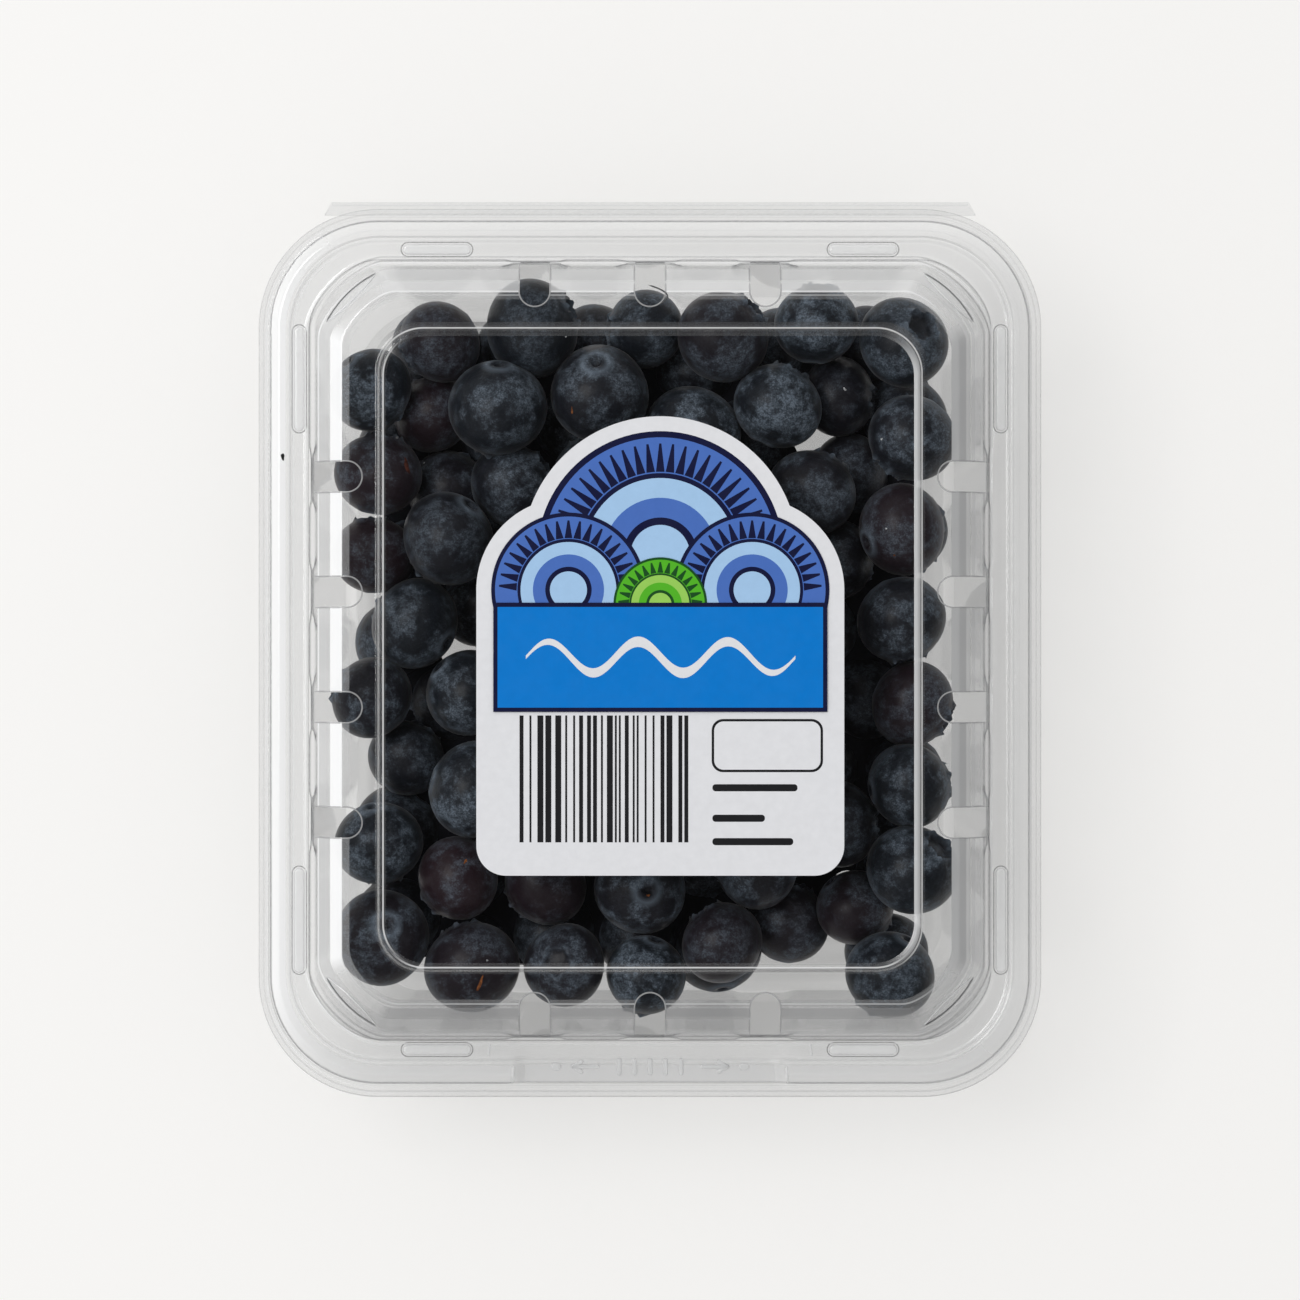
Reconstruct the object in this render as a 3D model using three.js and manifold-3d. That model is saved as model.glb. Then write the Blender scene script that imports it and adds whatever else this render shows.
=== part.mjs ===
// A shut clear punnet of blueberries: a base tray and a hinged lid of thin clear
// sheet, a paper label stuck on the lid, and two loose layers of berries inside.
// Millimetres. +Z is up, the hinge is at the back (+Y) and the opening tab at the
// front (-Y). The origin is on the resting surface, under the middle of the outline.

import * as THREE from 'three';
import { mergeVertices } from 'three/addons/utils/BufferGeometryUtils.js';
import Module from 'manifold-3d';

const wasm = await Module();
wasm.setup();

// Driving sizes of the outline
const HALF_WIDTH = 55.75;
const BACK_EDGE = 62.75;
const FRONT_EXTRA = 1.0;
const HALF_DEPTH = BACK_EDGE + FRONT_EXTRA;
const RIM_WIDTH = 7.05;
const SHEET = 0.45;
const FIT_GAP = 0.3;
const FLANGE_TOP = 24.3;
const ROUND = Math.SQRT1_2;

// Lid heights
const LID_LIP = FLANGE_TOP + FIT_GAP + SHEET;
const LEDGE_TOP = 27.05;
const BEAD_TOP = 27.75;
const SHOULDER_TOP = 34.6;
const PANEL_TOP = 35.7;

// Hinge strip along the back: both flanges run out to it
const HINGE_HALF_LENGTH = 45.4;
const HINGE_STRIP_START = 61.7;
const BASE_STRIP_END = 63.3;

// Vent slots through the lid's wall and shoulder
const SLOT_WIDTH = 4.2;
const SLOT_PITCH = 16.3;
const SLOT_OUTER_INSET = 7.9;
const SLOT_INNER_INSET = 15.0;
const SIDE_SLOT_COUNT = 4;
const END_SLOT_COUNT = 3;

// Base tray: wall, flutes and floor
const WALL_TOP_INSET = 7.75;
const WALL_FOOT_INSET = 13.4;
const WALL_FOOT_Z = 3.2;
const FLUTE_DEPTH = 0.9;
const FLUTE_WIDTH = 6.2;
const FLUTE_RAMP = 1.4;
const FLOOR_RAISE = 1.3;
const TRAY_CORNER_LEG = 9;
const TRAY_CORNER_WEIGHT = 0.45;

// Opening tab: the rim bead is pressed flat here, over the three front flutes, and a
// little narrower in the lid than in the tray below it
const TRAY_TAB = SLOT_PITCH + FLUTE_WIDTH / 2;
const LID_TAB = TRAY_TAB - 1.3;
const TAB_RAMP = FLUTE_RAMP;
const TAB_MARK_INSET = 4.3;
const TAB_MARK_RISE = 0.3;
const BUTTON_RISE = 0.55;

// Berries
const LAYER_ROWS = 8;
const LAYER_COLUMNS = 7;
const BERRY_PITCH = 12.3;
const HIDDEN_ROWS = 4;
const HIDDEN_PITCH = 12.9;
const HIDDEN_BACK = 17;
const CORE_LOW = 3.2;
const CORE_HIGH = 17;
const CORE_CLEAR = 3.6;

// Label
const LABEL_LEFT = -24.5;
const LABEL_RIGHT = 27.4;
const LABEL_BOTTOM = -31.9;
const LABEL_SHOULDER = 8.4;
const LABEL_TOP = 32.9;
const LABEL_CORNER = 4.2;
const LABEL_LOBE = 13;
const LABEL_CENTRE_LOBE = 19.5;
const LABEL_THICKNESS = 0.25;

// One ring of a moulding: how far it lies inside the outline, its height, the leg of
// its corners, their roundness (0 is a straight chamfer, ROUND a circle) and, for the
// rings of the bead, the height that the opening tab presses it down to.
function ring(inset, z, leg, weight = ROUND, tabZ = null) {
  return { inset, z, leg, weight, tabZ };
}

// The underside normal of the stretch of profile from one ring to the next.
function underNormal(from, to) {
  return new THREE.Vector2(to.z - from.z, from.inset - to.inset).normalize();
}

// A profile carried down by a distance, each stretch parallel to itself.
function offsetRings(rings, distance) {
  const normals = rings.slice(1).map((item, i) => underNormal(rings[i], item));
  return rings.map((item, i) => {
    const before = normals[Math.max(i - 1, 0)];
    const after = normals[Math.min(i, normals.length - 1)];
    const reach = distance / (1 + before.dot(after));
    const inset = item.inset + reach * (before.x + after.x);
    const z = item.z + reach * (before.y + after.y);
    const tabZ = item.tabZ === null ? null : item.tabZ - distance;
    return ring(inset, z, item.leg - (inset - item.inset), item.weight, tabZ);
  });
}

// How far a place along the front stands in a pressed-down tab, 0 to 1.
function tabShare(x, tabHalf) {
  return THREE.MathUtils.clamp((tabHalf + TAB_RAMP - Math.abs(x)) / TAB_RAMP, 0, 1);
}

// How far a place along a side stands out in a flute, 0 to 1.
function fluteShare(along, centres) {
  const half = FLUTE_WIDTH / 2;
  const shares = centres.map((c) => (half + FLUTE_RAMP - Math.abs(along - c)) / FLUTE_RAMP);
  return THREE.MathUtils.clamp(Math.max(0, ...shares), 0, 1);
}

// The middles of a row of evenly spaced features.
function spaced(count, pitch) {
  return Array.from({ length: count }, (_, i) => (i - (count - 1) / 2) * pitch);
}

const SIDE_CENTRES = spaced(SIDE_SLOT_COUNT, SLOT_PITCH);
const END_CENTRES = spaced(END_SLOT_COUNT, SLOT_PITCH);

// The places along a side where a ring needs points, for flutes of the given middles.
function fluteStations(centres) {
  const half = FLUTE_WIDTH / 2;
  return centres.flatMap((c) => [c - half - FLUTE_RAMP, c - half, c + half, c + half + FLUTE_RAMP]);
}

// Where the rings of the lid and of the tray have points along their straight sides,
// and how wide each one's opening tab is.
const LID_STATIONS = {
  front: [-LID_TAB - TAB_RAMP, -LID_TAB, LID_TAB, LID_TAB + TAB_RAMP],
  back: [],
  side: [],
  tab: LID_TAB,
};
const TRAY_STATIONS = {
  front: fluteStations(END_CENTRES),
  back: fluteStations(END_CENTRES),
  side: fluteStations(SIDE_CENTRES),
  tab: TRAY_TAB,
};
const BARE_STATIONS = { front: [], back: [], side: [], tab: 0 };

// One corner as a conic curve between its two legs. The signs, each +1 or -1, say which
// of the four corners it is.
function cornerPoints(halfX, reachY, item, signX, signY, steps) {
  const start = new THREE.Vector2(signX * halfX, signY * (reachY - item.leg));
  const knee = new THREE.Vector2(signX * halfX, signY * reachY);
  const end = new THREE.Vector2(signX * (halfX - item.leg), signY * reachY);
  return Array.from({ length: steps + 1 }, (_, i) => {
    const t = i / steps;
    const a = (1 - t) * (1 - t);
    const b = 2 * item.weight * t * (1 - t);
    const c = t * t;
    const x = (a * start.x + b * knee.x + c * end.x) / (a + b + c);
    const y = (a * start.y + b * knee.y + c * end.y) / (a + b + c);
    return new THREE.Vector2(x, y);
  });
}

// A whole ring as points, anticlockwise from above, starting at the back right corner.
function ringPoints(item, stations, fluteAmount, steps) {
  const halfX = HALF_WIDTH - item.inset;
  const back = BACK_EDGE - item.inset;
  const front = back + FRONT_EXTRA * THREE.MathUtils.clamp(1 - item.inset / RIM_WIDTH, 0, 1);
  const bulge = FLUTE_DEPTH * fluteAmount;
  const side = stations.side.map((y) => new THREE.Vector2(halfX + bulge * fluteShare(y, SIDE_CENTRES), y));
  const flat = [
    ...side,
    ...cornerPoints(halfX, back, item, 1, 1, steps),
    ...stations.back.map((x) => new THREE.Vector2(-x, back + bulge * fluteShare(x, END_CENTRES))),
    ...cornerPoints(halfX, back, item, -1, 1, steps).reverse(),
    ...side.map((p) => new THREE.Vector2(-p.x, -p.y)),
    ...cornerPoints(halfX, front, item, -1, -1, steps),
    ...stations.front.map((x) => new THREE.Vector2(x, -front - bulge * fluteShare(x, END_CENTRES))),
    ...cornerPoints(halfX, front, item, 1, -1, steps).reverse(),
  ];
  return flat.map((p) => {
    const pressed = item.tabZ !== null && p.y < -HALF_DEPTH / 2 ? tabShare(p.x, stations.tab) : 0;
    const z = item.tabZ === null ? item.z : THREE.MathUtils.lerp(item.z, item.tabZ, pressed);
    return new THREE.Vector3(p.x, p.y, z);
  });
}

// A closed body from a chain of rings, with a flat cap on the first and the last.
function loft(rings) {
  const count = rings[0].length;
  const positions = rings.flat().flatMap((p) => [p.x, p.y, p.z]);
  const index = [];
  for (let r = 0; r + 1 < rings.length; r += 1) {
    for (let i = 0; i < count; i += 1) {
      const a = r * count + i;
      const b = r * count + ((i + 1) % count);
      index.push(a, a + count, b, b, a + count, b + count);
    }
  }
  for (const r of [0, rings.length - 1]) {
    const middle = positions.length / 3;
    positions.push(0, 0, rings[r][0].z);
    for (let i = 0; i < count; i += 1) {
      const a = r * count + i;
      const b = r * count + ((i + 1) % count);
      index.push(...(r === 0 ? [middle, a, b] : [middle, b, a]));
    }
  }
  const geometry = new THREE.BufferGeometry();
  geometry.setAttribute('position', new THREE.Float32BufferAttribute(positions, 3));
  geometry.setIndex(index);
  return geometry;
}

// A closed three.js geometry as a solid for joining and cutting.
function solid(geometry, offset = [0, 0, 0]) {
  const bare = geometry.clone();
  bare.deleteAttribute('normal');
  bare.deleteAttribute('uv');
  const merged = mergeVertices(bare, 1e-4);
  const mesh = new wasm.Mesh({
    numProp: 3,
    vertProperties: new Float32Array(merged.attributes.position.array),
    triVerts: new Uint32Array(merged.index.array),
  });
  return new wasm.Manifold(mesh).translate(offset);
}

// The largest whole piece of a solid, without sealed hollows or loose scraps.
function wholePiece(body) {
  return body.decompose().reduce((best, item) => (item.volume() > best.volume() ? item : best));
}

// A solid as a three.js geometry.
function geometryOf(body) {
  const mesh = body.getMesh();
  const geometry = new THREE.BufferGeometry();
  geometry.setAttribute('position', new THREE.Float32BufferAttribute(mesh.vertProperties, 3));
  geometry.setIndex([...mesh.triVerts]);
  geometry.computeVertexNormals();
  return geometry;
}

// A flat outline extruded upward from a height.
function plate(shape, z, height, curveSegments = 3) {
  const geometry = new THREE.ExtrudeGeometry(shape, { depth: height, bevelEnabled: false, curveSegments });
  return solid(geometry, [0, 0, z]);
}

// A stadium outline: a straight slot with round ends, between two points.
function stadium(from, to, width) {
  const radius = width / 2;
  const turn = Math.atan2(to[1] - from[1], to[0] - from[0]);
  const quarter = Math.PI / 2;
  const shape = new THREE.Shape();
  shape.absarc(from[0], from[1], radius, turn + quarter, turn + 3 * quarter, false);
  shape.absarc(to[0], to[1], radius, turn - quarter, turn + quarter, false);
  return shape;
}

// Lid

const LID_RINGS = [
  ring(0, LID_LIP, 17),
  ring(1.65, LID_LIP, 15.4, ROUND, LID_LIP),
  ring(1.95, LID_LIP + 1.7, 15.1, ROUND, LID_LIP),
  ring(2.85, BEAD_TOP, 14.4, ROUND, LID_LIP),
  ring(4.4, BEAD_TOP, 13, ROUND, LID_LIP),
  ring(4.95, LEDGE_TOP, 12.5, ROUND, LID_LIP),
  ring(6.7, LEDGE_TOP, 11.3, 0.5),
  ring(7.6, 28.3, 10.5, 0.4),
  ring(8.4, 28.75, 10, 0.35),
  ring(10.8, 33.6, 8.3, 0.3),
  ring(12.1, SHOULDER_TOP, 7.6, 0.4),
  ring(17.3, SHOULDER_TOP, 6.4, ROUND),
  ring(18.1, PANEL_TOP - 0.1, 5.6, ROUND),
  ring(18.9, PANEL_TOP, 5.2, ROUND),
];
const LID_CORNER_STEPS = 4;

// A vent cutter: a slot from the foot of the lid's wall in over its shoulder.
function ventCutter(side, along) {
  const reach = side === 'x' ? HALF_WIDTH : BACK_EDGE;
  const outer = reach - SLOT_OUTER_INSET;
  const inner = reach - SLOT_INNER_INSET + SLOT_WIDTH / 2;
  const from = side === 'x' ? [outer, along] : [along, outer];
  const to = side === 'x' ? [inner, along] : [along, inner];
  return plate(stadium(from, to, SLOT_WIDTH), LEDGE_TOP + 1.2, PANEL_TOP - LEDGE_TOP);
}

function lidVents() {
  const cutters = [];
  for (const along of SIDE_CENTRES) {
    cutters.push(ventCutter('x', along), ventCutter('x', along).rotate([0, 0, 180]));
  }
  for (const along of END_CENTRES) {
    cutters.push(ventCutter('y', along), ventCutter('y', along).rotate([0, 0, 180]));
  }
  return wasm.Manifold.union(cutters);
}

// A flat shape raised above the sheet, rooted halfway into it.
function raisedMark(shape, sheetTop, rise) {
  return plate(shape, sheetTop - SHEET / 2, rise + SHEET / 2);
}

// Oblong press buttons on the ledge: two on each side, and two each at back and front.
function snapButtons() {
  const width = 1.5;
  const inset = 5.85;
  const sideX = HALF_WIDTH - inset;
  const sideReach = [31.8, 45.2];
  const backY = BACK_EDGE - inset;
  const backReach = [26.2, 34.4];
  const buttons = [];
  for (const sign of [-1, 1]) {
    for (const end of [-1, 1]) {
      const [near, far] = sideReach;
      const [low, high] = backReach;
      const beside = stadium([sign * sideX, end * near], [sign * sideX, end * far], width);
      const behind = stadium([sign * low, end * backY], [sign * high, end * backY], width);
      buttons.push(raisedMark(beside, LEDGE_TOP, BUTTON_RISE), raisedMark(behind, LEDGE_TOP, BUTTON_RISE));
    }
  }
  return wasm.Manifold.union(buttons);
}

// Raised marks on the tab: an arrow to each side, and short grip ribs between them.
function tabMarks() {
  const y = -HALF_DEPTH + TAB_MARK_INSET;
  const marks = [];
  for (const sign of [-1, 1]) {
    const arrow = new THREE.Shape();
    arrow.moveTo(sign * 7.2, y - 0.3);
    arrow.lineTo(sign * 7.2, y + 0.3);
    arrow.lineTo(sign * 9.6, y + 0.3);
    arrow.lineTo(sign * 9.6, y + 0.9);
    arrow.lineTo(sign * 11.4, y);
    arrow.lineTo(sign * 9.6, y - 0.9);
    arrow.lineTo(sign * 9.6, y - 0.3);
    const dot = stadium([sign * 13.2, y], [sign * 13.6, y], 1.1);
    marks.push(raisedMark(arrow, LID_LIP, TAB_MARK_RISE), raisedMark(dot, LID_LIP, TAB_MARK_RISE));
  }
  for (const x of spaced(5, 2.2)) {
    marks.push(raisedMark(stadium([x, y - 0.9], [x, y + 0.9], 0.7), LID_LIP, TAB_MARK_RISE));
  }
  return wasm.Manifold.union(marks);
}

// The strip that carries a flange out to the hinge line.
function hingeStrip(top, end) {
  const shape = new THREE.Shape();
  shape.moveTo(-HINGE_HALF_LENGTH - 1, HINGE_STRIP_START);
  shape.lineTo(HINGE_HALF_LENGTH + 1, HINGE_STRIP_START);
  shape.lineTo(HINGE_HALF_LENGTH, end);
  shape.lineTo(-HINGE_HALF_LENGTH, end);
  return plate(shape, top - SHEET, SHEET);
}

function sheetBody(rings, stations, fluteAmounts, steps) {
  const under = offsetRings(rings, SHEET);
  const upper = rings.map((item, i) => ringPoints(item, stations, fluteAmounts[i], steps));
  const lower = under.map((item, i) => ringPoints(item, stations, fluteAmounts[i], steps));
  return solid(loft([...upper.reverse(), ...lower]));
}

function buildLid() {
  const none = LID_RINGS.map(() => 0);
  const shell = sheetBody(LID_RINGS, LID_STATIONS, none, LID_CORNER_STEPS);
  const strip = hingeStrip(LID_LIP, HALF_DEPTH);
  const raised = snapButtons().add(tabMarks());
  return geometryOf(wholePiece(shell.add(strip).add(raised).subtract(lidVents())));
}

// Base tray

// The rim nests under the lid's rim: its main rings, carried down by sheet and gap.
function trayRings() {
  const lidRim = LID_RINGS.slice(0, 7).filter((_, i) => i !== 2);
  const rim = offsetRings(lidRim, SHEET + FIT_GAP).slice(0, 5);
  const wall = (share, amount) => {
    const inset = THREE.MathUtils.lerp(WALL_TOP_INSET, WALL_FOOT_INSET, share);
    const z = THREE.MathUtils.lerp(FLANGE_TOP + 0.9, WALL_FOOT_Z, share);
    return { item: ring(inset, z, TRAY_CORNER_LEG, TRAY_CORNER_WEIGHT), amount };
  };
  const plain = (item) => ({ item, amount: 0 });
  return [
    ...rim.map(plain),
    plain(ring(7.1, LEDGE_TOP - SHEET - FIT_GAP, 9.8, 0.5)),
    wall(0, 0),
    wall(0.14, 1),
    wall(0.86, 1),
    wall(1, 0),
    plain(ring(14.2, 1.3, 8.6, 0.5)),
    plain(ring(15.5, SHEET, 8, 0.6)),
    plain(ring(18.6, SHEET, 7, 0.65)),
    plain(ring(19.9, SHEET + FLOOR_RAISE, 6.4, 0.65)),
  ];
}

// Drain slots in the raised floor, in two rows that run across it.
function floorVents() {
  const cutters = [];
  for (const y of [-24, 24]) {
    for (const x of spaced(3, 20)) {
      cutters.push(plate(stadium([x - 4, y], [x + 4, y], 2.6), -1, FLOOR_RAISE + 3));
    }
  }
  return wasm.Manifold.union(cutters);
}

const TRAY_CORNER_STEPS = 4;

function buildTray() {
  const stations = trayRings();
  const rings = stations.map(({ item }) => item);
  const amounts = stations.map(({ amount }) => amount);
  const shell = sheetBody(rings, TRAY_STATIONS, amounts, TRAY_CORNER_STEPS);
  const strip = hingeStrip(FLANGE_TOP, BASE_STRIP_END);
  return geometryOf(wholePiece(shell.add(strip).subtract(floorVents())));
}

// Berries

// The berries seen from above, in reading order from the back left: where each one's
// middle is, how wide it is, and how high it lies (2 on top, 1 between, 0 sunk in).
const SEEN_BERRIES = [
  [-30.4, 43.4, 11.7, 1], [-17.1, 45.8, 13.9, 2], [-2.7, 44.1, 12.0, 1], [9.7, 44.4, 13.6, 2],
  [23.9, 46.7, 12.3, 2], [36.3, 44.0, 12.8, 2], [-39.2, 36.7, 12.0, 2], [-21.8, 34.6, 14.2, 2],
  [-6.8, 37.5, 14.5, 2], [6.0, 31.0, 13.6, 2], [18.8, 35.3, 12.6, 2], [29.6, 35.6, 11.5, 0],
  [37.3, 30.3, 13.0, 2], [-32.1, 31.3, 11.4, 0], [-12.1, 29.9, 11.5, 0], [-38.8, 24.9, 12.5, 2],
  [-28.2, 21.6, 12.0, 0], [-20.7, 22.4, 12.2, 1], [23.5, 22.4, 12.5, 1], [31.1, 24.6, 12.0, 0],
  [-28.5, 17.0, 13.4, 2], [35.6, 17.0, 13.2, 2], [-39.2, 12.8, 11.7, 1], [27.8, 11.3, 11.5, 0],
  [-34.5, 4.2, 13.0, 2], [36.0, 3.9, 13.0, 2], [-39.2, -6.9, 12.0, 2], [-26.2, -6.1, 12.6, 2],
  [37.5, -8.1, 12.4, 2], [-33.9, -16.9, 11.5, 0], [-25.7, -20.0, 13.8, 2], [37.0, -19.7, 12.5, 2],
  [24.2, -22.9, 12.0, 1], [-38.8, -27.6, 12.5, 2], [-27.4, -32.4, 12.3, 2], [-15.0, -34.0, 12.0, 1],
  [-1.4, -34.7, 13.6, 2], [15.2, -31.7, 12.8, 2], [36.3, -31.4, 13.5, 2], [30.6, -38.1, 11.4, 1],
  [20.0, -37.8, 12.2, 0], [10.3, -41.5, 12.1, 2], [-38.2, -41.1, 13.6, 2], [-25.4, -45.4, 13.5, 2],
  [-12.3, -45.0, 11.7, 2], [-0.3, -45.7, 11.9, 2], [33.8, -45.7, 13.0, 2],
];

// A repeatable number from 0 to 1 for a place in a series.
function scatter(seed) {
  const value = Math.sin(seed * 12.9898 + 4.1) * 43758.5453;
  return value - Math.floor(value);
}

// The upper berries that the label hides, in staggered rows under it.
function hiddenBerries() {
  const found = [];
  for (let row = 0; row < HIDDEN_ROWS; row += 1) {
    const shift = row % 2 === 0 ? -12.5 : -6;
    for (let column = 0; column < 3; column += 1) {
      const seed = row * 7 + column;
      const x = shift + column * HIDDEN_PITCH + 2 * (scatter(seed) - 0.5);
      const y = HIDDEN_BACK - row * BERRY_PITCH + 2 * (scatter(seed + 50) - 0.5);
      found.push({ x, y, d: 12 + 1.8 * scatter(seed + 90), level: 1 });
    }
  }
  return found;
}

// The lower layer, in staggered rows over the floor.
function lowerBerries() {
  const found = [];
  for (let row = 0; row < LAYER_ROWS; row += 1) {
    const columns = LAYER_COLUMNS - (row % 2);
    for (let column = 0; column < columns; column += 1) {
      const seed = 200 + row * 11 + column;
      const x = (column - (columns - 1) / 2) * BERRY_PITCH + 1.2 * (scatter(seed) - 0.5);
      const y = (row - (LAYER_ROWS - 1) / 2) * BERRY_PITCH + 1.2 * (scatter(seed + 60) - 0.5);
      found.push({ x, y, d: 11.6 + 1.7 * scatter(seed + 120), level: -1 });
    }
  }
  return found;
}

// How far inside the outline the tray's inner wall lies at a height, with a small gap.
function trayReach(z) {
  const share = (FLANGE_TOP + 0.9 - z) / (FLANGE_TOP + 0.9 - WALL_FOOT_Z);
  return THREE.MathUtils.lerp(WALL_TOP_INSET, WALL_FOOT_INSET, share) + SHEET + FIT_GAP;
}

const FLOOR_REST = SHEET + FLOOR_RAISE + FIT_GAP;
const TOP_LEVEL = 2;
const LEVELS = {
  '-1': { height: 8.4, free: 1 },
  0: { height: 13.2, free: 0.25 },
  1: { height: 16.8, free: 0.08 },
  2: { height: 19.4, free: 0.05 },
};
const SETTLE_TURNS = 80;
const PUSH = 0.3;
const PULL = 0.12;

// The whole pile: every berry starts at its level and is drawn back to that height,
// while those that cross are pushed apart by turns. The ones seen from above keep their
// place and mostly move up or down.
function settledBerries() {
  const seen = SEEN_BERRIES.map(([x, y, d, level]) => ({ x, y, d, level }));
  const all = [...seen, ...hiddenBerries(), ...lowerBerries()];
  for (const b of all) b.z = LEVELS[b.level].height;
  for (let turn = 0; turn < SETTLE_TURNS; turn += 1) {
    const push = all.map(() => [0, 0, 0]);
    for (let i = 0; i < all.length; i += 1) {
      for (let j = i + 1; j < all.length; j += 1) {
        const gap = [all[j].x - all[i].x, all[j].y - all[i].y, all[j].z - all[i].z];
        const apart = Math.hypot(...gap);
        const over = (all[i].d + all[j].d) / 2 - apart;
        if (over <= 0) continue;
        for (let k = 0; k < 3; k += 1) {
          push[i][k] -= (PUSH * over * gap[k]) / apart;
          push[j][k] += (PUSH * over * gap[k]) / apart;
        }
      }
    }
    all.forEach((b, i) => settleOne(b, push[i]));
  }
  return all;
}

// Moves one berry by its push, and keeps it inside the tray's walls and cut corners.
function settleOne(b, push) {
  const radius = b.d / 2;
  const { height, free } = LEVELS[b.level];
  b.x += push[0] * free;
  b.y += push[1] * free;
  b.z += push[2] + PULL * (height - b.z);
  b.z = Math.max(b.z, FLOOR_REST + radius);
  const inset = trayReach(b.z) + radius;
  const reachX = HALF_WIDTH - inset;
  const reachY = BACK_EDGE - inset;
  b.x = THREE.MathUtils.clamp(b.x, -reachX, reachX);
  b.y = THREE.MathUtils.clamp(b.y, -reachY, reachY);
  const cut = TRAY_CORNER_LEG * Math.SQRT1_2 / (1 + TRAY_CORNER_WEIGHT);
  const room = (reachX + reachY - Math.abs(b.x) - Math.abs(b.y)) * Math.SQRT1_2;
  const over = Math.max(cut - (Math.SQRT2 - 1) * radius - room, 0) * Math.SQRT1_2;
  b.x -= Math.sign(b.x) * over;
  b.y -= Math.sign(b.y) * over;
}

// The dense middle of the pile, tapered like the tray.
function berryCore() {
  const rings = [CORE_HIGH, CORE_LOW].map((z) => ring(trayReach(z) + CORE_CLEAR, z, 9, 0.6));
  return solid(loft(rings.map((item) => ringPoints(item, BARE_STATIONS, 0, 2))));
}

// One berry, turned by its place in the series. The top ones have more sides.
function berryBody(b, i) {
  const detail = b.level === TOP_LEVEL ? 1 : 0;
  const geometry = new THREE.IcosahedronGeometry(b.d / 2, detail);
  geometry.rotateX(Math.PI * scatter(i + 1));
  geometry.rotateZ(Math.PI * scatter(i + 31));
  return solid(geometry, [b.x, b.y, b.z]);
}

function buildBerries() {
  const bodies = settledBerries().map(berryBody);
  return geometryOf(wholePiece(wasm.Manifold.union([berryCore(), ...bodies])));
}

// Label

// Where the outlines of two overlapping lobes meet, on their upper side.
function lobeCrossing(a, b) {
  const dx = b.x - a.x;
  const dy = b.y - a.y;
  const apart = Math.hypot(dx, dy);
  const along = (apart * apart + a.r * a.r - b.r * b.r) / (2 * apart);
  const up = Math.sqrt(a.r * a.r - along * along);
  return [a.x + (along * dx - up * dy) / apart, a.y + (along * dy + up * dx) / apart];
}

function angleOn(lobe, [x, y]) {
  return Math.atan2(y - lobe.y, x - lobe.x);
}

function labelShape() {
  const middle = (LABEL_LEFT + LABEL_RIGHT) / 2;
  const left = { x: LABEL_LEFT + LABEL_LOBE, y: LABEL_SHOULDER, r: LABEL_LOBE };
  const right = { x: LABEL_RIGHT - LABEL_LOBE, y: LABEL_SHOULDER, r: LABEL_LOBE };
  const centre = { x: middle, y: LABEL_TOP - LABEL_CENTRE_LOBE, r: LABEL_CENTRE_LOBE };
  const leftMeet = lobeCrossing(left, centre);
  const rightMeet = lobeCrossing(centre, right);
  const shape = new THREE.Shape();
  const low = LABEL_BOTTOM + LABEL_CORNER;
  shape.absarc(LABEL_LEFT + LABEL_CORNER, low, LABEL_CORNER, Math.PI, 1.5 * Math.PI, false);
  shape.absarc(LABEL_RIGHT - LABEL_CORNER, low, LABEL_CORNER, -Math.PI / 2, 0, false);
  shape.absarc(right.x, right.y, right.r, 0, angleOn(right, rightMeet), false);
  shape.absarc(centre.x, centre.y, centre.r, angleOn(centre, rightMeet), angleOn(centre, leftMeet), false);
  shape.absarc(left.x, left.y, left.r, angleOn(left, leftMeet), Math.PI, false);
  return shape;
}

function buildLabel() {
  return geometryOf(plate(labelShape(), PANEL_TOP + FIT_GAP, LABEL_THICKNESS, 6));
}

// The finished group: one named mesh for each piece

const clearSheet = { color: 0xdfe6ea, roughness: 0.08, metalness: 0, transparent: true, opacity: 0.35 };

function piece(name, geometry, options) {
  const mesh = new THREE.Mesh(geometry, new THREE.MeshStandardMaterial(options));
  mesh.name = name;
  return mesh;
}

const punnet = new THREE.Group();
punnet.add(piece('base_tray', buildTray(), clearSheet));
punnet.add(piece('lid', buildLid(), clearSheet));
punnet.add(piece('berries', buildBerries(), { color: 0x2c313b, roughness: 0.6, metalness: 0 }));
punnet.add(piece('label', buildLabel(), { color: 0xf4f5f7, roughness: 0.35, metalness: 0 }));

export default punnet;
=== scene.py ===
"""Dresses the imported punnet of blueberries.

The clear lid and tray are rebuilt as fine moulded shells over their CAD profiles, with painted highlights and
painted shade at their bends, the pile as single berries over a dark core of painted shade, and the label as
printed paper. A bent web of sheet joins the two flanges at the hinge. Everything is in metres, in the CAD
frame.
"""

import logging
import math
from dataclasses import dataclass
from enum import Enum

import bmesh
import bpy
import numpy as np
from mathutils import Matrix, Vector
from mathutils.bvhtree import BVHTree


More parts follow.
